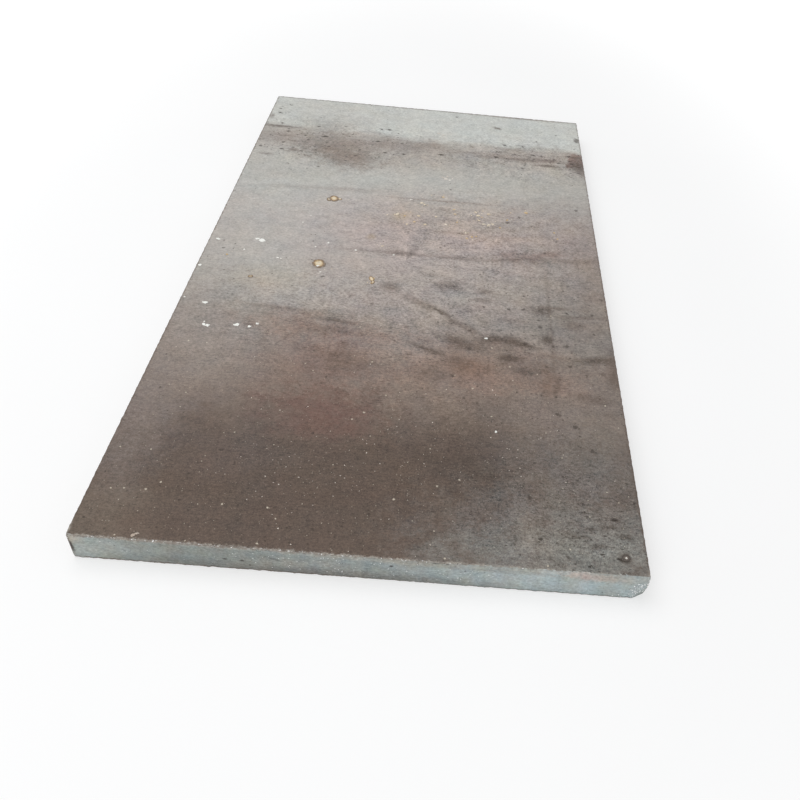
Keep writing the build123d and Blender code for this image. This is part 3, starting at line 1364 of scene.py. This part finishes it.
NARROW_MARKS = (
    # the same columns
    (-182, 276.5, 24, 2.8, 0, 0.8, 4.0, "soot", 0.75),
    (-170, 252, 9, 2.4, 0, 0.9, 3.4, "umber", 0.5),
    (-158, 240, 6, 2.4, 0, 0.9, 3.0, "umber", 0.5),
    (-153, 217, 5, 3.4, 0, 0.8, 2.4, "umber", 0.7),
    (-183, 201, 9, 2.6, 0, 0.9, 3.0, "umber", 0.5),
    (0, 364, 205, 1.5, 0, 0.9, 2.6, "umber", 0.75),
    (130, 362, 60, 2.2, 0, 0.9, 2.6, "brown", 0.6),
    (93, 326, 6, 2.6, -25, 0.7, 2.0, "umber", 0.8),
    (196, 311, 3.5, 6, 0, 0.6, 1.6, "soot", 0.9),
    (-196, 303, 3, 6, 0, 0.8, 1.6, "umber", 0.7),
    (118, 270, 20, 3.6, 0, 0.9, 3.6, "umber", 0.35),
    (118, 243, 46, 3.0, 2, 0.9, 3.6, "umber", 0.4),
    (155, 233, 13, 3.0, 0, 0.7, 4.0, "soot", 0.8),
    (158, 247, 12, 2.4, 0, 0.8, 4.0, "umber", 0.6),
    (193, 236, 8, 14, 0, 0.8, 3.0, "soot", 0.5),
    (190, 262, 10, 2.6, 0, 0.7, 3.4, "soot", 0.6),
    (-100, 131, 60, 4, 4, 0.9, 3.0, "taupe", 0.45),
    (35, 125, 48, 1.8, 1, 0.9, 3.4, "brown", 0.6),
    (20, 13, 100, 3.4, 1, 0.9, 4.6, "umber", 0.3),
    (-8, 12, 14, 4.4, 0, 0.9, 3.2, "mauve", 0.7),
    (50, 12, 30, 3.0, 0, 0.9, 4.0, "umber", 0.35),
    (104, 18, 20, 2.4, 12, 0.9, 3.4, "umber", 0.4),
    (-39, 39, 4.5, 5.0, 0, 0.8, 1.6, "ochre", 0.5),
    (-13, 85, 10, 7, 30, 0.9, 2.0, "ochre", 0.45),
    (-84, -19, 9, 11, 0, 0.9, 1.6, "lilac", 0.5),
    (48, 60, 20, 2, 0, 0.9, 3.4, "brown", 0.5),
    (-11, -48, 9, 7, -20, 0.8, 2.6, "umber", 0.7),
    (46, -37, 11, 7, 0, 0.9, 5.0, "soot", 0.65),
    (81, -43, 8, 4, 8, 0.9, 3.4, "soot", 0.6),
    (78, -57, 11, 3.0, 0, 0.9, 3.4, "umber", 0.55),
    (22, -71, 18, 4.6, -28, 0.9, 2.4, "brown", 0.7),
    (41, -82, 11, 2.0, -38, 0.8, 2.2, "soot", 0.9),
    (64, -102, 15, 4.0, -34, 0.9, 4.0, "umber", 0.8),
    (49, -100, 3, 8, -10, 0.9, 3.4, "umber", 0.4),
    (137, -66, 9, 7, 0, 0.8, 2.8, "soot", 0.8),
    (151, -60, 16, 2.0, 0, 0.9, 3.0, "umber", 0.6),
    (172, -72, 26, 2.4, 4, 0.9, 3.2, "umber", 0.5),
    (165, -85, 10, 9, 0, 0.9, 3.0, "umber", 0.5),
    (139, -110, 5, 7, 0, 0.8, 2.8, "soot", 0.9),
    (145, -174, 2.6, 10, -8, 0.8, 2.8, "umber", 0.7),
    (118, -156, 12, 5, 0, 0.9, 2.8, "umber", 0.55),
    (177, -187, 15, 5, -10, 0.9, 2.8, "umber", 0.55),
    (195, -160, 6, 8, 0, 0.9, 2.8, "umber", 0.7),
    (55, -123, 10, 7, -30, 0.8, 2.8, "umber", 0.85),
    (84, -127, 34, 12, -6, 0.9, 3.0, "umber", 0.35),
    (87, -116, 9, 6, 10, 0.8, 2.8, "soot", 0.85),
    (105, -116, 11, 7, -10, 0.8, 2.8, "soot", 0.85),
    (119, -121, 9, 3.4, -14, 0.8, 2.8, "soot", 0.85),
    (68, -129, 9, 5, 0, 0.8, 2.8, "umber", 0.8),
    (104, -141, 10, 5, 0, 0.7, 2.4, "soot", 0.8),
    (31, -138, 19, 2.6, -24, 0.8, 2.4, "umber", 0.8),
    (66, -156, 15, 11, -12, 0.9, 2.8, "sienna", 0.8),
    (60, -152, 9, 6, -12, 0.9, 2.8, "umber", 0.5),
    (35, -170, 15, 7, -14, 0.9, 2.6, "umber", 0.5),
    (184, -134, 17, 5, 6, 0.8, 2.8, "soot", 0.8),
    (197, -142, 5, 20, 0, 0.9, 3.0, "umber", 0.7),
    (143, -95, 2.0, 92, 0, 0.9, 4.0, "umber", 0.4),
    (-62, -106, 15, 2.8, -6, 0.8, 2.8, "umber", 0.6),
    (-98, -96, 40, 3.4, -4, 0.9, 2.8, "brown", 0.6),
    (-66, -123, 20, 5, 0, 0.9, 3.6, "umber", 0.3),
    (-140, -229, 5, 2, 0, 0.8, 2.0, "umber", 0.5),
    (184, -349, 4.4, 4.8, 0, 0.5, 1.0, "soot", 0.9),
    (186, -331, 6, 2.4, -10, 0.8, 2.8, "soot", 0.8),
    (165, -341, 6, 2.4, 10, 0.8, 2.8, "soot", 0.7),
    (150, -333, 8, 2.0, -5, 0.8, 2.8, "soot", 0.6),
    (175, -323, 7, 2.0, 0, 0.8, 2.8, "soot", 0.6),
)
PITTED = (
    # x, y, half width, half length, turn, softness, fray, amount
    (-165, 225, 46, 50, 0, 0.9, 2.0, 0.22),
    (140, 255, 58, 24, 0, 0.9, 2.0, 0.4),
    (-60, 245, 110, 30, 0, 0.9, 2.0, 0.22),
    (120, -90, 90, 130, 0, 0.9, 2.0, 0.25),
    (165, -338, 46, 24, 0, 0.9, 2.0, 0.5),
    (-110, -330, 90, 35, 0, 0.9, 2.0, 0.2),
)
DASHED = (
    # the same columns
    (140, 255, 46, 24, 0, 0.7, 1.6, 0.75),
    (194, 228, 14, 16, 0, 0.7, 1.6, 0.7),
    (-110, 245, 90, 44, 0, 0.9, 1.6, 0.3),
    (-190, 300, 16, 60, 0, 0.9, 1.6, 0.3),
    (165, -338, 40, 22, 0, 0.8, 1.6, 0.4),
)
GRIMY = (
    # the same columns
    (130, 240, 90, 40, 0, 0.9, 1.4, 0.8),
    (-90, 235, 90, 50, 0, 0.9, 1.4, 0.5),
    (60, 70, 110, 60, 0, 0.9, 1.4, 0.45),
    (90, -80, 140, 140, 0, 0.9, 1.4, 0.55),
    (-90, -110, 120, 60, 0, 0.9, 1.4, 0.45),
    (150, -320, 80, 60, 0, 0.9, 1.4, 0.7),
    (-60, -290, 150, 90, 0, 0.9, 1.4, 0.35),
)


def lay_stains(tree, colour, stains, place, fray, holes):
    """Lays a list of stains over a colour, one after another, each thinned by the holes in it."""
    for *shape, name, strength in stains:
        mask = draw_stain(tree, place, fray, THICKNESS / MM, *shape, strength)
        colour = blend(tree, times(tree, mask, holes), colour, PALETTE[name])
    return colour


def add_zones(tree, zones, place, fray, least):
    """A number for each place of the top: least, plus what each zone adds."""
    total = least
    for zone in zones:
        total = reckon(tree, "ADD", draw_stain(tree, place, fray, THICKNESS / MM, *zone), total)
    return total


# %% The top's material


def paint_top():
    """Mill scale with bands, stains, dashes, pits and dust, rubbed pale along the front arris."""
    material, tree, shader = start_material("top_scale")
    place = millimetres(tree)
    near = stray(tree, place, 22.0, 8.0)
    close = stray(tree, place, 6.0, 2.0)
    rags = cloud(tree, place, 16.0, 1.2, detail=5.0, rough=0.8)
    fine_rags = cloud(tree, place, 3.8, 1.2, detail=4.0, rough=0.8)

    broad = stray(tree, place, 90.0, 14.0)
    _, y, _ = split(tree, broad)
    band_edge = times_plus(tree, rags, 22.0, y)
    colour = lay_bands(tree, band_edge)
    thin = ease(tree, fine_rags, -0.25, 0.15, 0.55, 1.0)
    colour = lay_stains(tree, colour, BROAD_STAINS, near, rags, thin)
    gappy = ease(tree, fine_rags, -0.2, 0.04, 0.3, 1.0)
    colour = lay_stains(tree, colour, NARROW_MARKS, close, fine_rags, gappy)

    grime = add_zones(tree, GRIMY, near, rags, 0.15)
    pits = add_zones(tree, PITTED, near, rags, 0.03)
    weather = times(tree, ease(tree, rags, -0.05, -0.2), reckon(tree, "SUBTRACT", grime, 0.1))
    colour = blend(tree, times(tree, weather, 0.32), colour, PALETTE["umber"])
    crumbs = times(tree, ease(tree, fine_rags, -0.17, -0.3), times(tree, pits, 2.0))
    colour = blend(tree, reckon(tree, "MINIMUM", crumbs, 0.7), colour, PALETTE["soot"])
    drawn_out = reckon_place(tree, "DIVIDE", place, (1.6, 1.0, 1.0))
    share = add_zones(tree, DASHED, near, rags, 0.0)
    dashes = strew(tree, drawn_out, 7.0, 2.0, share)
    colour = blend(tree, times(tree, dashes, 0.85), colour, PALETTE["pit"])
    dust = ease(tree, y, -60.0, -300.0, 0.01, 0.16)
    scale = use(tree, mill_scale, colour=colour, place=place, grime=grime, pits=pits, dust=dust)
    worn = rub(tree, place, 2.4, fine_rags, 6.0)
    rim = blend(tree, ease(tree, y, -350.0, -362.0), PALETTE["umber"], PALETTE["buff"])
    colour = blend(tree, times(tree, worn, 0.75), scale["Colour"], rim)
    shader.inputs["Specular IOR Level"].default_value = 0.2
    cover(tree, shader, colour, scale, 0.15)
    return material


top_scale = paint_top()
print("top nodes", len(top_scale.node_tree.nodes))

# %% [markdown]
# ## The sawn ends
#
# A saw leaves the steel bare: a cool grey with a faint green cast, fine drag marks, small torn
# pits and bright flecks. The group adds these to any colour, so the front end, its facets and the
# far end can share it. It works on a flat place, which is the distance along the face and the
# height.

# %% The sawn ends


def make_sawn_steel():
    """Adds drag marks, torn pits and flecks to a colour on a flat face."""
    tree, given, result = new_group(
        "sawn_steel",
        {"Colour": COLOR, "Place": VECTOR, "Torn": FLOAT},
        {"Colour": COLOR, "Roughness": FLOAT, "Height": FLOAT},
    )
    place = given["Place"]
    blotches = cloud(tree, place, 10.0, 1.5, detail=6.0, rough=0.85)
    grain = cloud(tree, place, 1.8, 1.3, detail=3.0, rough=0.7)
    drags = cloud(tree, place, 0.9, 18.0, detail=2.0)

    shade = times_plus(tree, blotches, 0.95, 1.0)
    shade = times_plus(tree, grain, 1.0, shade)
    shade = times_plus(tree, drags, 0.22, shade)
    warmth, green = drifting_hues(tree, place, 14.0, 0.2, 0.1)
    colour = shade_by(tree, given["Colour"], shade, warmth, green)

    pits = strew(tree, place, 6.5, 0.9, given["Torn"])
    colour = blend(tree, times(tree, pits, 0.7), colour, PALETTE["pit"])
    crumbs = cloud(tree, place, 1.6, 1.4, detail=3.0, rough=0.75)
    bright = times(tree, ease(tree, crumbs, 0.2, 0.34), given["Torn"])
    colour = blend(tree, times(tree, bright, 3.0, clamp=True), colour, PALETTE["cream"])
    dark = times(tree, ease(tree, crumbs, -0.2, -0.34), given["Torn"])
    colour = blend(tree, times(tree, dark, 2.6, clamp=True), colour, PALETTE["soot"])
    feed(tree, result["Colour"], colour)

    rough = times_plus(tree, blotches, 0.3, 0.46)
    feed(tree, result["Roughness"], reckon(tree, "MAXIMUM", rough, 0.25))
    height = times(tree, drags, 0.08)
    feed(tree, result["Height"], times_plus(tree, grain, 0.10, height))
    return tree


FRONT_MARKS = (
    # across, height above the floor, half width, half height, turn, softness, fray, colour, strength
    (-192, 10, 34, 16, 0, 0.9, 1.6, "bare", 0.8),
    (130, 12, 56, 14, 0, 0.9, 1.6, "bright", 0.6),
    # a slate strip along the foot of the face, darker towards the bottom
    (-20, 3, 100, 5, 0, 0.9, 1.6, "slate", 0.7),
    (-197, 20, 9, 3.4, 28, 0.8, 1.6, "buff", 0.85),
    (-198.6, 14, 1.5, 7.5, 6, 0.6, 1.2, "pit", 1.0),
    (-120, 24, 50, 1.2, 0, 0.9, 3.0, "dust", 0.5),
    (10, 23, 70, 2.2, -1, 0.9, 3.0, "buff", 0.6),
    (75, 22, 50, 2.6, -1, 0.9, 3.0, "moss", 0.5),
    (-45, 12, 26, 4, 0, 0.9, 2.2, "dust", 0.3),
    (168, 21, 34, 4.0, -2, 0.9, 2.6, "buff", 0.6),
    (158, 21.5, 14, 2.6, -4, 0.9, 2.8, "rose", 0.9),
    (-94, 11, 1.5, 0.8, 0, 0.7, 2.0, "pit", 0.9),
    (-82, 10.5, 1.4, 0.7, 0, 0.7, 2.0, "pit", 0.9),
    (-60, 15, 5, 1.0, -20, 0.8, 3.0, "pit", 0.4),
    (20.6, 17, 1.4, 0.8, 20, 0.7, 2.4, "pit", 0.9),
    (51, 24, 2.4, 0.9, 0, 0.7, 2.4, "pit", 0.8),
    (59, 24, 1.8, 0.9, 0, 0.7, 2.4, "pit", 0.8),
)


def lay_front_marks(tree, colour, flat):
    """The front end's own stains and torn spots."""
    fray = cloud(tree, flat, 3.4, 1.4, detail=4.0, rough=0.8)
    for *shape, name, strength in FRONT_MARKS:
        colour = blend(tree, draw_stain(tree, flat, fray, 0, *shape, strength), colour, PALETTE[name])
    return colour


RIM_TURN = (-60.0, 90.0)  # between these places the rim turns from brown to grey
RIM_REACH = (2.3, 1.5)


def paint_sawn(name, colour_at, torn):
    """A bare sawn or ground face, whose base colour comes from colour_at(tree, flat place)."""
    material, tree, shader = start_material(name)
    place = millimetres(tree)
    x, _, z = split(tree, place)
    flat = combine(tree, x, z)
    sawn = use(tree, sawn_steel, colour=colour_at(tree, flat), place=flat, torn=torn)
    rags = cloud(tree, flat, 3.0)
    worn = rub(tree, place, ease(tree, x, *RIM_TURN, *RIM_REACH), rags, 5.0)
    rim = blend(tree, ease(tree, x, *RIM_TURN), PALETTE["brown"], PALETTE["moss"])
    colour = blend(tree, times(tree, worn, 0.85), sawn["Colour"], rim)
    cover(tree, shader, colour, sawn, 0.25)
    return material


def front_colour(tree, flat):
    """Greyer on the left, cooler and paler on the right, with the front end's own marks."""
    x, _, _ = split(tree, stray(tree, flat, 30.0, 12.0))
    colour = blend(tree, ease(tree, x, -120.0, 190.0), paint(141, 145, 140), paint(166, 176, 176))
    return lay_front_marks(tree, colour, flat)


def ground_colour(tree, flat):
    """A little warmer than the sawn face, where a grinder took the steel back."""
    warm = noise(tree, flat, 16.0)["Fac"]
    return blend(tree, times(tree, warm, 0.5), front_colour(tree, flat), PALETTE["buff"])


def far_colour(tree, flat):
    """The far end has stood outdoors longer: grey steel under patches of light rust."""
    rust = ease(tree, noise(tree, flat, 30.0, 6.0, 0.7)["Fac"], 0.42, 0.66)
    return blend(tree, rust, paint(146, 148, 143), paint(132, 112, 96))


sawn_steel = make_sawn_steel()
front_steel = paint_sawn("sawn_front", front_colour, 0.22)
ground_steel = paint_sawn("ground_facet", ground_colour, 0.14)
broken_steel = paint_sawn("broken_facet", lambda tree, flat: paint(150, 160, 156), 0.5)
far_steel = paint_sawn("sawn_far_end", far_colour, 0.25)

# %% [markdown]
# ## The sides and the underside
#
# Neither is seen in the photograph. The long sides of such a plate are cut too, but older, so
# they carry a dark brown skin with drag lines along them. The underside has the same scale as the
# top, without its history: broad dull clouds, some rust, and pits all over.

# %% The sides and the underside


def paint_side():
    """The long sides: dark skin, streaked along the plate, rubbed bright at the arrises."""
    material, tree, shader = start_material("side_skin")
    place = millimetres(tree)
    _, y, z = split(tree, place)
    flat = combine(tree, y, z)
    streaks = cloud(tree, flat, 5.0, 7.0)
    rust = cloud(tree, flat, 34.0, 2.0)
    colour = blend(tree, ease(tree, streaks, -0.2, 0.2), paint(112, 103, 96), paint(136, 130, 124))
    colour = blend(tree, ease(tree, rust, 0.02, 0.2, 0.0, 0.7), colour, paint(126, 98, 78))
    scale = use(tree, mill_scale, colour=colour, place=flat, grime=0.5, pits=0.3, dust=0.05)
    rags = cloud(tree, place, 4.0)
    worn = rub(tree, place, 2.2, rags, 5.0)
    colour = blend(tree, times(tree, worn, 0.7), scale["Colour"], PALETTE["buff"])
    cover(tree, shader, colour, scale, times_plus(tree, worn, 0.4, 0.15))
    return material


def paint_underside():
    """The underside's scale: dull clouds with patches of rust."""
    material, tree, shader = start_material("underside_scale")
    place = millimetres(tree)
    near = stray(tree, place, 60.0, 24.0)
    broad = cloud(tree, near, 130.0, across=1.8)
    rust = cloud(tree, near, 48.0)
    colour = blend(tree, ease(tree, broad, -0.2, 0.2), PALETTE["brown"], PALETTE["grey"])
    colour = blend(tree, ease(tree, rust, 0.06, 0.24, 0.0, 0.7), colour, PALETTE["red_brown"])
    scale = use(tree, mill_scale, colour=colour, place=place, grime=0.4, pits=0.15, dust=0.04)
    cover(tree, shader, scale["Colour"], scale, 0.15)
    return material


side_skin = paint_side()
underside_scale = paint_underside()

# %% [markdown]
# ## Dressing the plate
#
# One mesh carries all of these finishes. Each face takes the one that fits the way it looks out:
# up, down, forwards, backwards or sideways. The damaged corners are found by their planes.

# %% Dressing the plate
FINISHES = (top_scale, front_steel, far_steel, side_skin, underside_scale, ground_steel, broken_steel)
TOP, FRONT, FAR, SIDE, UNDER, GROUND, BROKEN = range(len(FINISHES))
FACET_REACH = 0.9 * MM
FACET_ZONE = 7.0 * MM
LEVEL = 0.6
FORWARD = 0.3
TILTED_DOWN = 0.05
TILTED_UP = 0.06


def lies_on(centre, plane):
    """True where a face's centre is on a facet, allowing for its relief."""
    point, outward = plane
    return abs(outward.dot(centre - point)) < FACET_REACH


def finish_for(face):
    """The number of the finish that a face of the plate takes."""
    centre = face.center
    normal = face.normal
    if normal.y < -FORWARD and centre.y < -LENGTH / 2 + FACET_ZONE:
        if lies_on(centre, broken_plane) and normal.z < -TILTED_DOWN:
            return BROKEN
        within = centre.x > WIDTH / 2 - GROUND_REACH[0]
        if within and lies_on(centre, ground_plane) and normal.z > TILTED_UP:
            return GROUND
    if normal.z > LEVEL:
        return TOP
    if normal.z < -LEVEL:
        return UNDER
    if abs(normal.x) > abs(normal.y):
        return SIDE
    return FRONT if normal.y < 0 else FAR


plate.data.materials.clear()
for finish in FINISHES:
    plate.data.materials.append(finish)
for face in plate.data.polygons:
    face.material_index = finish_for(face)
numbers = [face.material_index for face in plate.data.polygons]
for number, finish in enumerate(FINISHES):
    print(finish.name, numbers.count(number), "faces")

# %% [markdown]
# ## Finishes for the small pieces
#
# Each bit carries a number, its tone, from when it was laid. The finish reads it and mixes two
# colours by it, so that no two grains look alike. The drops also carry their distance from the
# middle, which gives the rings: a dark rim, an ochre slope and a pale crust.

# %% Finishes for the small pieces
DROP_COLOURS = (
    (0.0, paint(240, 228, 206)), (0.42, paint(230, 210, 174)), (0.6, paint(196, 166, 124)),
    (0.74, paint(140, 114, 84)), (0.88, paint(132, 112, 90)), (1.0, paint(166, 156, 146)),
)
OLD_DROP_COLOURS = (
    (0.0, paint(140, 132, 122)), (0.4, paint(96, 84, 74)),
    (0.8, paint(58, 50, 44)), (1.0, paint(90, 80, 72)),
)


def read_mark(tree, name):
    """A number that was written on the points of a piece."""
    node = tree.nodes.new("ShaderNodeAttribute")
    node.attribute_name = name
    return node.outputs["Fac"]


def finish_bits(tree, shader, colour, roughness):
    """Adds grain to a small piece's colour, gloss and surface."""
    place = millimetres(tree)
    grain = cloud(tree, place, 0.9)
    shade = times_plus(tree, grain, 0.6, 1.0)
    feed(tree, shader.inputs["Base Color"], shade_by(tree, colour, shade))
    feed(tree, shader.inputs["Roughness"], times_plus(tree, grain, 0.4, roughness))
    raise_bumps(tree, shader, times(tree, grain, 0.2))


def paint_drops():
    """Rust drops: rings of rust around a crust, frayed by lumps."""
    material, tree, shader = start_material("rust_drop")
    lumps = cloud(tree, millimetres(tree), 3.0)
    ring = times_plus(tree, lumps, 0.8, read_mark(tree, "from_middle"), clamp=True)
    old = run_ramp(tree, ring, OLD_DROP_COLOURS)
    rusty = run_ramp(tree, ring, DROP_COLOURS)
    finish_bits(tree, shader, blend(tree, read_mark(tree, "tone"), old, rusty), 0.5)
    return material


def paint_bits(name, dark, light, metallic=0.0, roughness=0.55):
    """Small bits whose tone changes from one to the next between a dark and a light colour."""
    material, tree, shader = start_material(name)
    finish_bits(tree, shader, blend(tree, read_mark(tree, "tone"), dark, light), roughness)
    shader.inputs["Metallic"].default_value = metallic
    return material


def dress(piece, material):
    """Gives a piece one finish."""
    piece.data.materials.clear()
    piece.data.materials.append(material)


dress(rust_drops, paint_drops())
dress(pale_flecks_and_highlight, paint_bits("fleck_and_highlight_paint", paint(178, 158, 140), paint(250, 250, 244)))
dress(golden_grains, paint_bits("golden_rust", paint(236, 226, 208), paint(204, 172, 118)))
dress(grit, paint_bits("grit_stone", paint(150, 138, 126), paint(244, 235, 222)))
dress(bright_burrs, paint_bits("burr_steel", paint(150, 146, 140), paint(252, 253, 252), 0.8, 0.25))

# %% [markdown]
# ## The studio
#
# The photograph has a white background and even daylight from above and a little from the left.
# A large area light stands in for the sky, a second one lifts the front face, and the world
# fills the rest. The floor is white with a soft contact shadow: it glows, but only for the camera,
# so that the glow doesn't light the steel. The glow grows with the distance from the plate, and
# hides where the floor ends.

# %% The floor and the lights
FLOOR_SIZE = 8
FLOOR_LEVEL = -0.05 * MM
FLOOR_DARK = (0.93, 0.93, 0.93, 1)
FLOOR_PALE = (0.96, 0.96, 0.96, 1)
FLOOR_GLOW = 1.1
FLOOR_GLOW_SHARE = 0.5
GLOW_RISE = (300.0, 800.0)
WORLD_FILL = 0.45

start_alone()
bpy.ops.mesh.primitive_plane_add(size=FLOOR_SIZE, location=(0, 0, FLOOR_LEVEL))
studio_floor = bpy.context.object
studio_floor.name = "studio_floor"


def paint_floor():
    """A white matt floor that glows for the camera alone, less around the plate than far from it."""
    material, tree, shader = start_material("floor_white")
    place = millimetres(tree)
    tone = noise(tree, place, 240.0)["Fac"]
    feed(tree, shader.inputs["Base Color"], blend(tree, tone, FLOOR_DARK, FLOOR_PALE))
    shader.inputs["Roughness"].default_value = 0.9
    shader.inputs["Specular IOR Level"].default_value = 0.1
    sight = tree.nodes.new("ShaderNodeLightPath")
    glow = tree.nodes.new("ShaderNodeEmission")
    glow.inputs["Strength"].default_value = FLOOR_GLOW
    mix = tree.nodes.new("ShaderNodeMixShader")
    drawn_in = reckon_place(tree, "MULTIPLY", place, (1.0, WIDTH / LENGTH, 0.0))
    away = reckon_place(tree, "LENGTH", drawn_in)
    share = ease(tree, away, *GLOW_RISE, FLOOR_GLOW_SHARE, 1.0)
    feed(tree, mix.inputs[0], times(tree, sight.outputs["Is Camera Ray"], share))
    tree.links.new(shader.outputs[0], mix.inputs[1])
    tree.links.new(glow.outputs[0], mix.inputs[2])
    tree.links.new(mix.outputs[0], tree.nodes["Material Output"].inputs[0])
    return material


def make_world():
    """White where it is seen or mirrored, and a softer fill where it only lights."""
    world = bpy.data.worlds.new("studio_world")
    bpy.context.scene.world = world
    world.use_nodes = True
    tree = world.node_tree
    tree.nodes.clear()
    sight = tree.nodes.new("ShaderNodeLightPath")
    seen = reckon(tree, "MAXIMUM", sight.outputs["Is Camera Ray"], sight.outputs["Is Glossy Ray"])
    seen = reckon(tree, "MAXIMUM", seen, sight.outputs["Is Transmission Ray"])
    fill = tree.nodes.new("ShaderNodeBackground")
    fill.inputs["Color"].default_value = (0.97, 0.985, 1, 1)
    fill.inputs["Strength"].default_value = WORLD_FILL
    white = tree.nodes.new("ShaderNodeBackground")
    white.inputs["Color"].default_value = (1, 1, 1, 1)
    mix = tree.nodes.new("ShaderNodeMixShader")
    feed(tree, mix.inputs[0], seen)
    tree.links.new(fill.outputs[0], mix.inputs[1])
    tree.links.new(white.outputs[0], mix.inputs[2])
    output = tree.nodes.new("ShaderNodeOutputWorld")
    tree.links.new(mix.outputs[0], output.inputs[0])


def add_soft_box(name, place, size, watts, target=(0, 0, 0)):
    """A rectangular area light that looks at a target."""
    start_alone()
    bpy.ops.object.light_add(type="AREA", location=place)
    lamp = bpy.context.object
    lamp.name = name
    lamp.data.shape = "RECTANGLE"
    lamp.data.size, lamp.data.size_y = size
    lamp.data.energy = watts
    lamp.rotation_euler = (Vector(target) - lamp.location).to_track_quat("-Z", "Y").to_euler()
    return lamp


dress(studio_floor, paint_floor())
make_world()
add_soft_box("sky_light", (-0.55, 0.35, 1.9), (1.8, 1.6), 18)
add_soft_box("front_light", (-0.5, -1.8, 0.9), (1.6, 1.0), 10)
bpy.context.scene.view_settings.view_transform = "Standard"
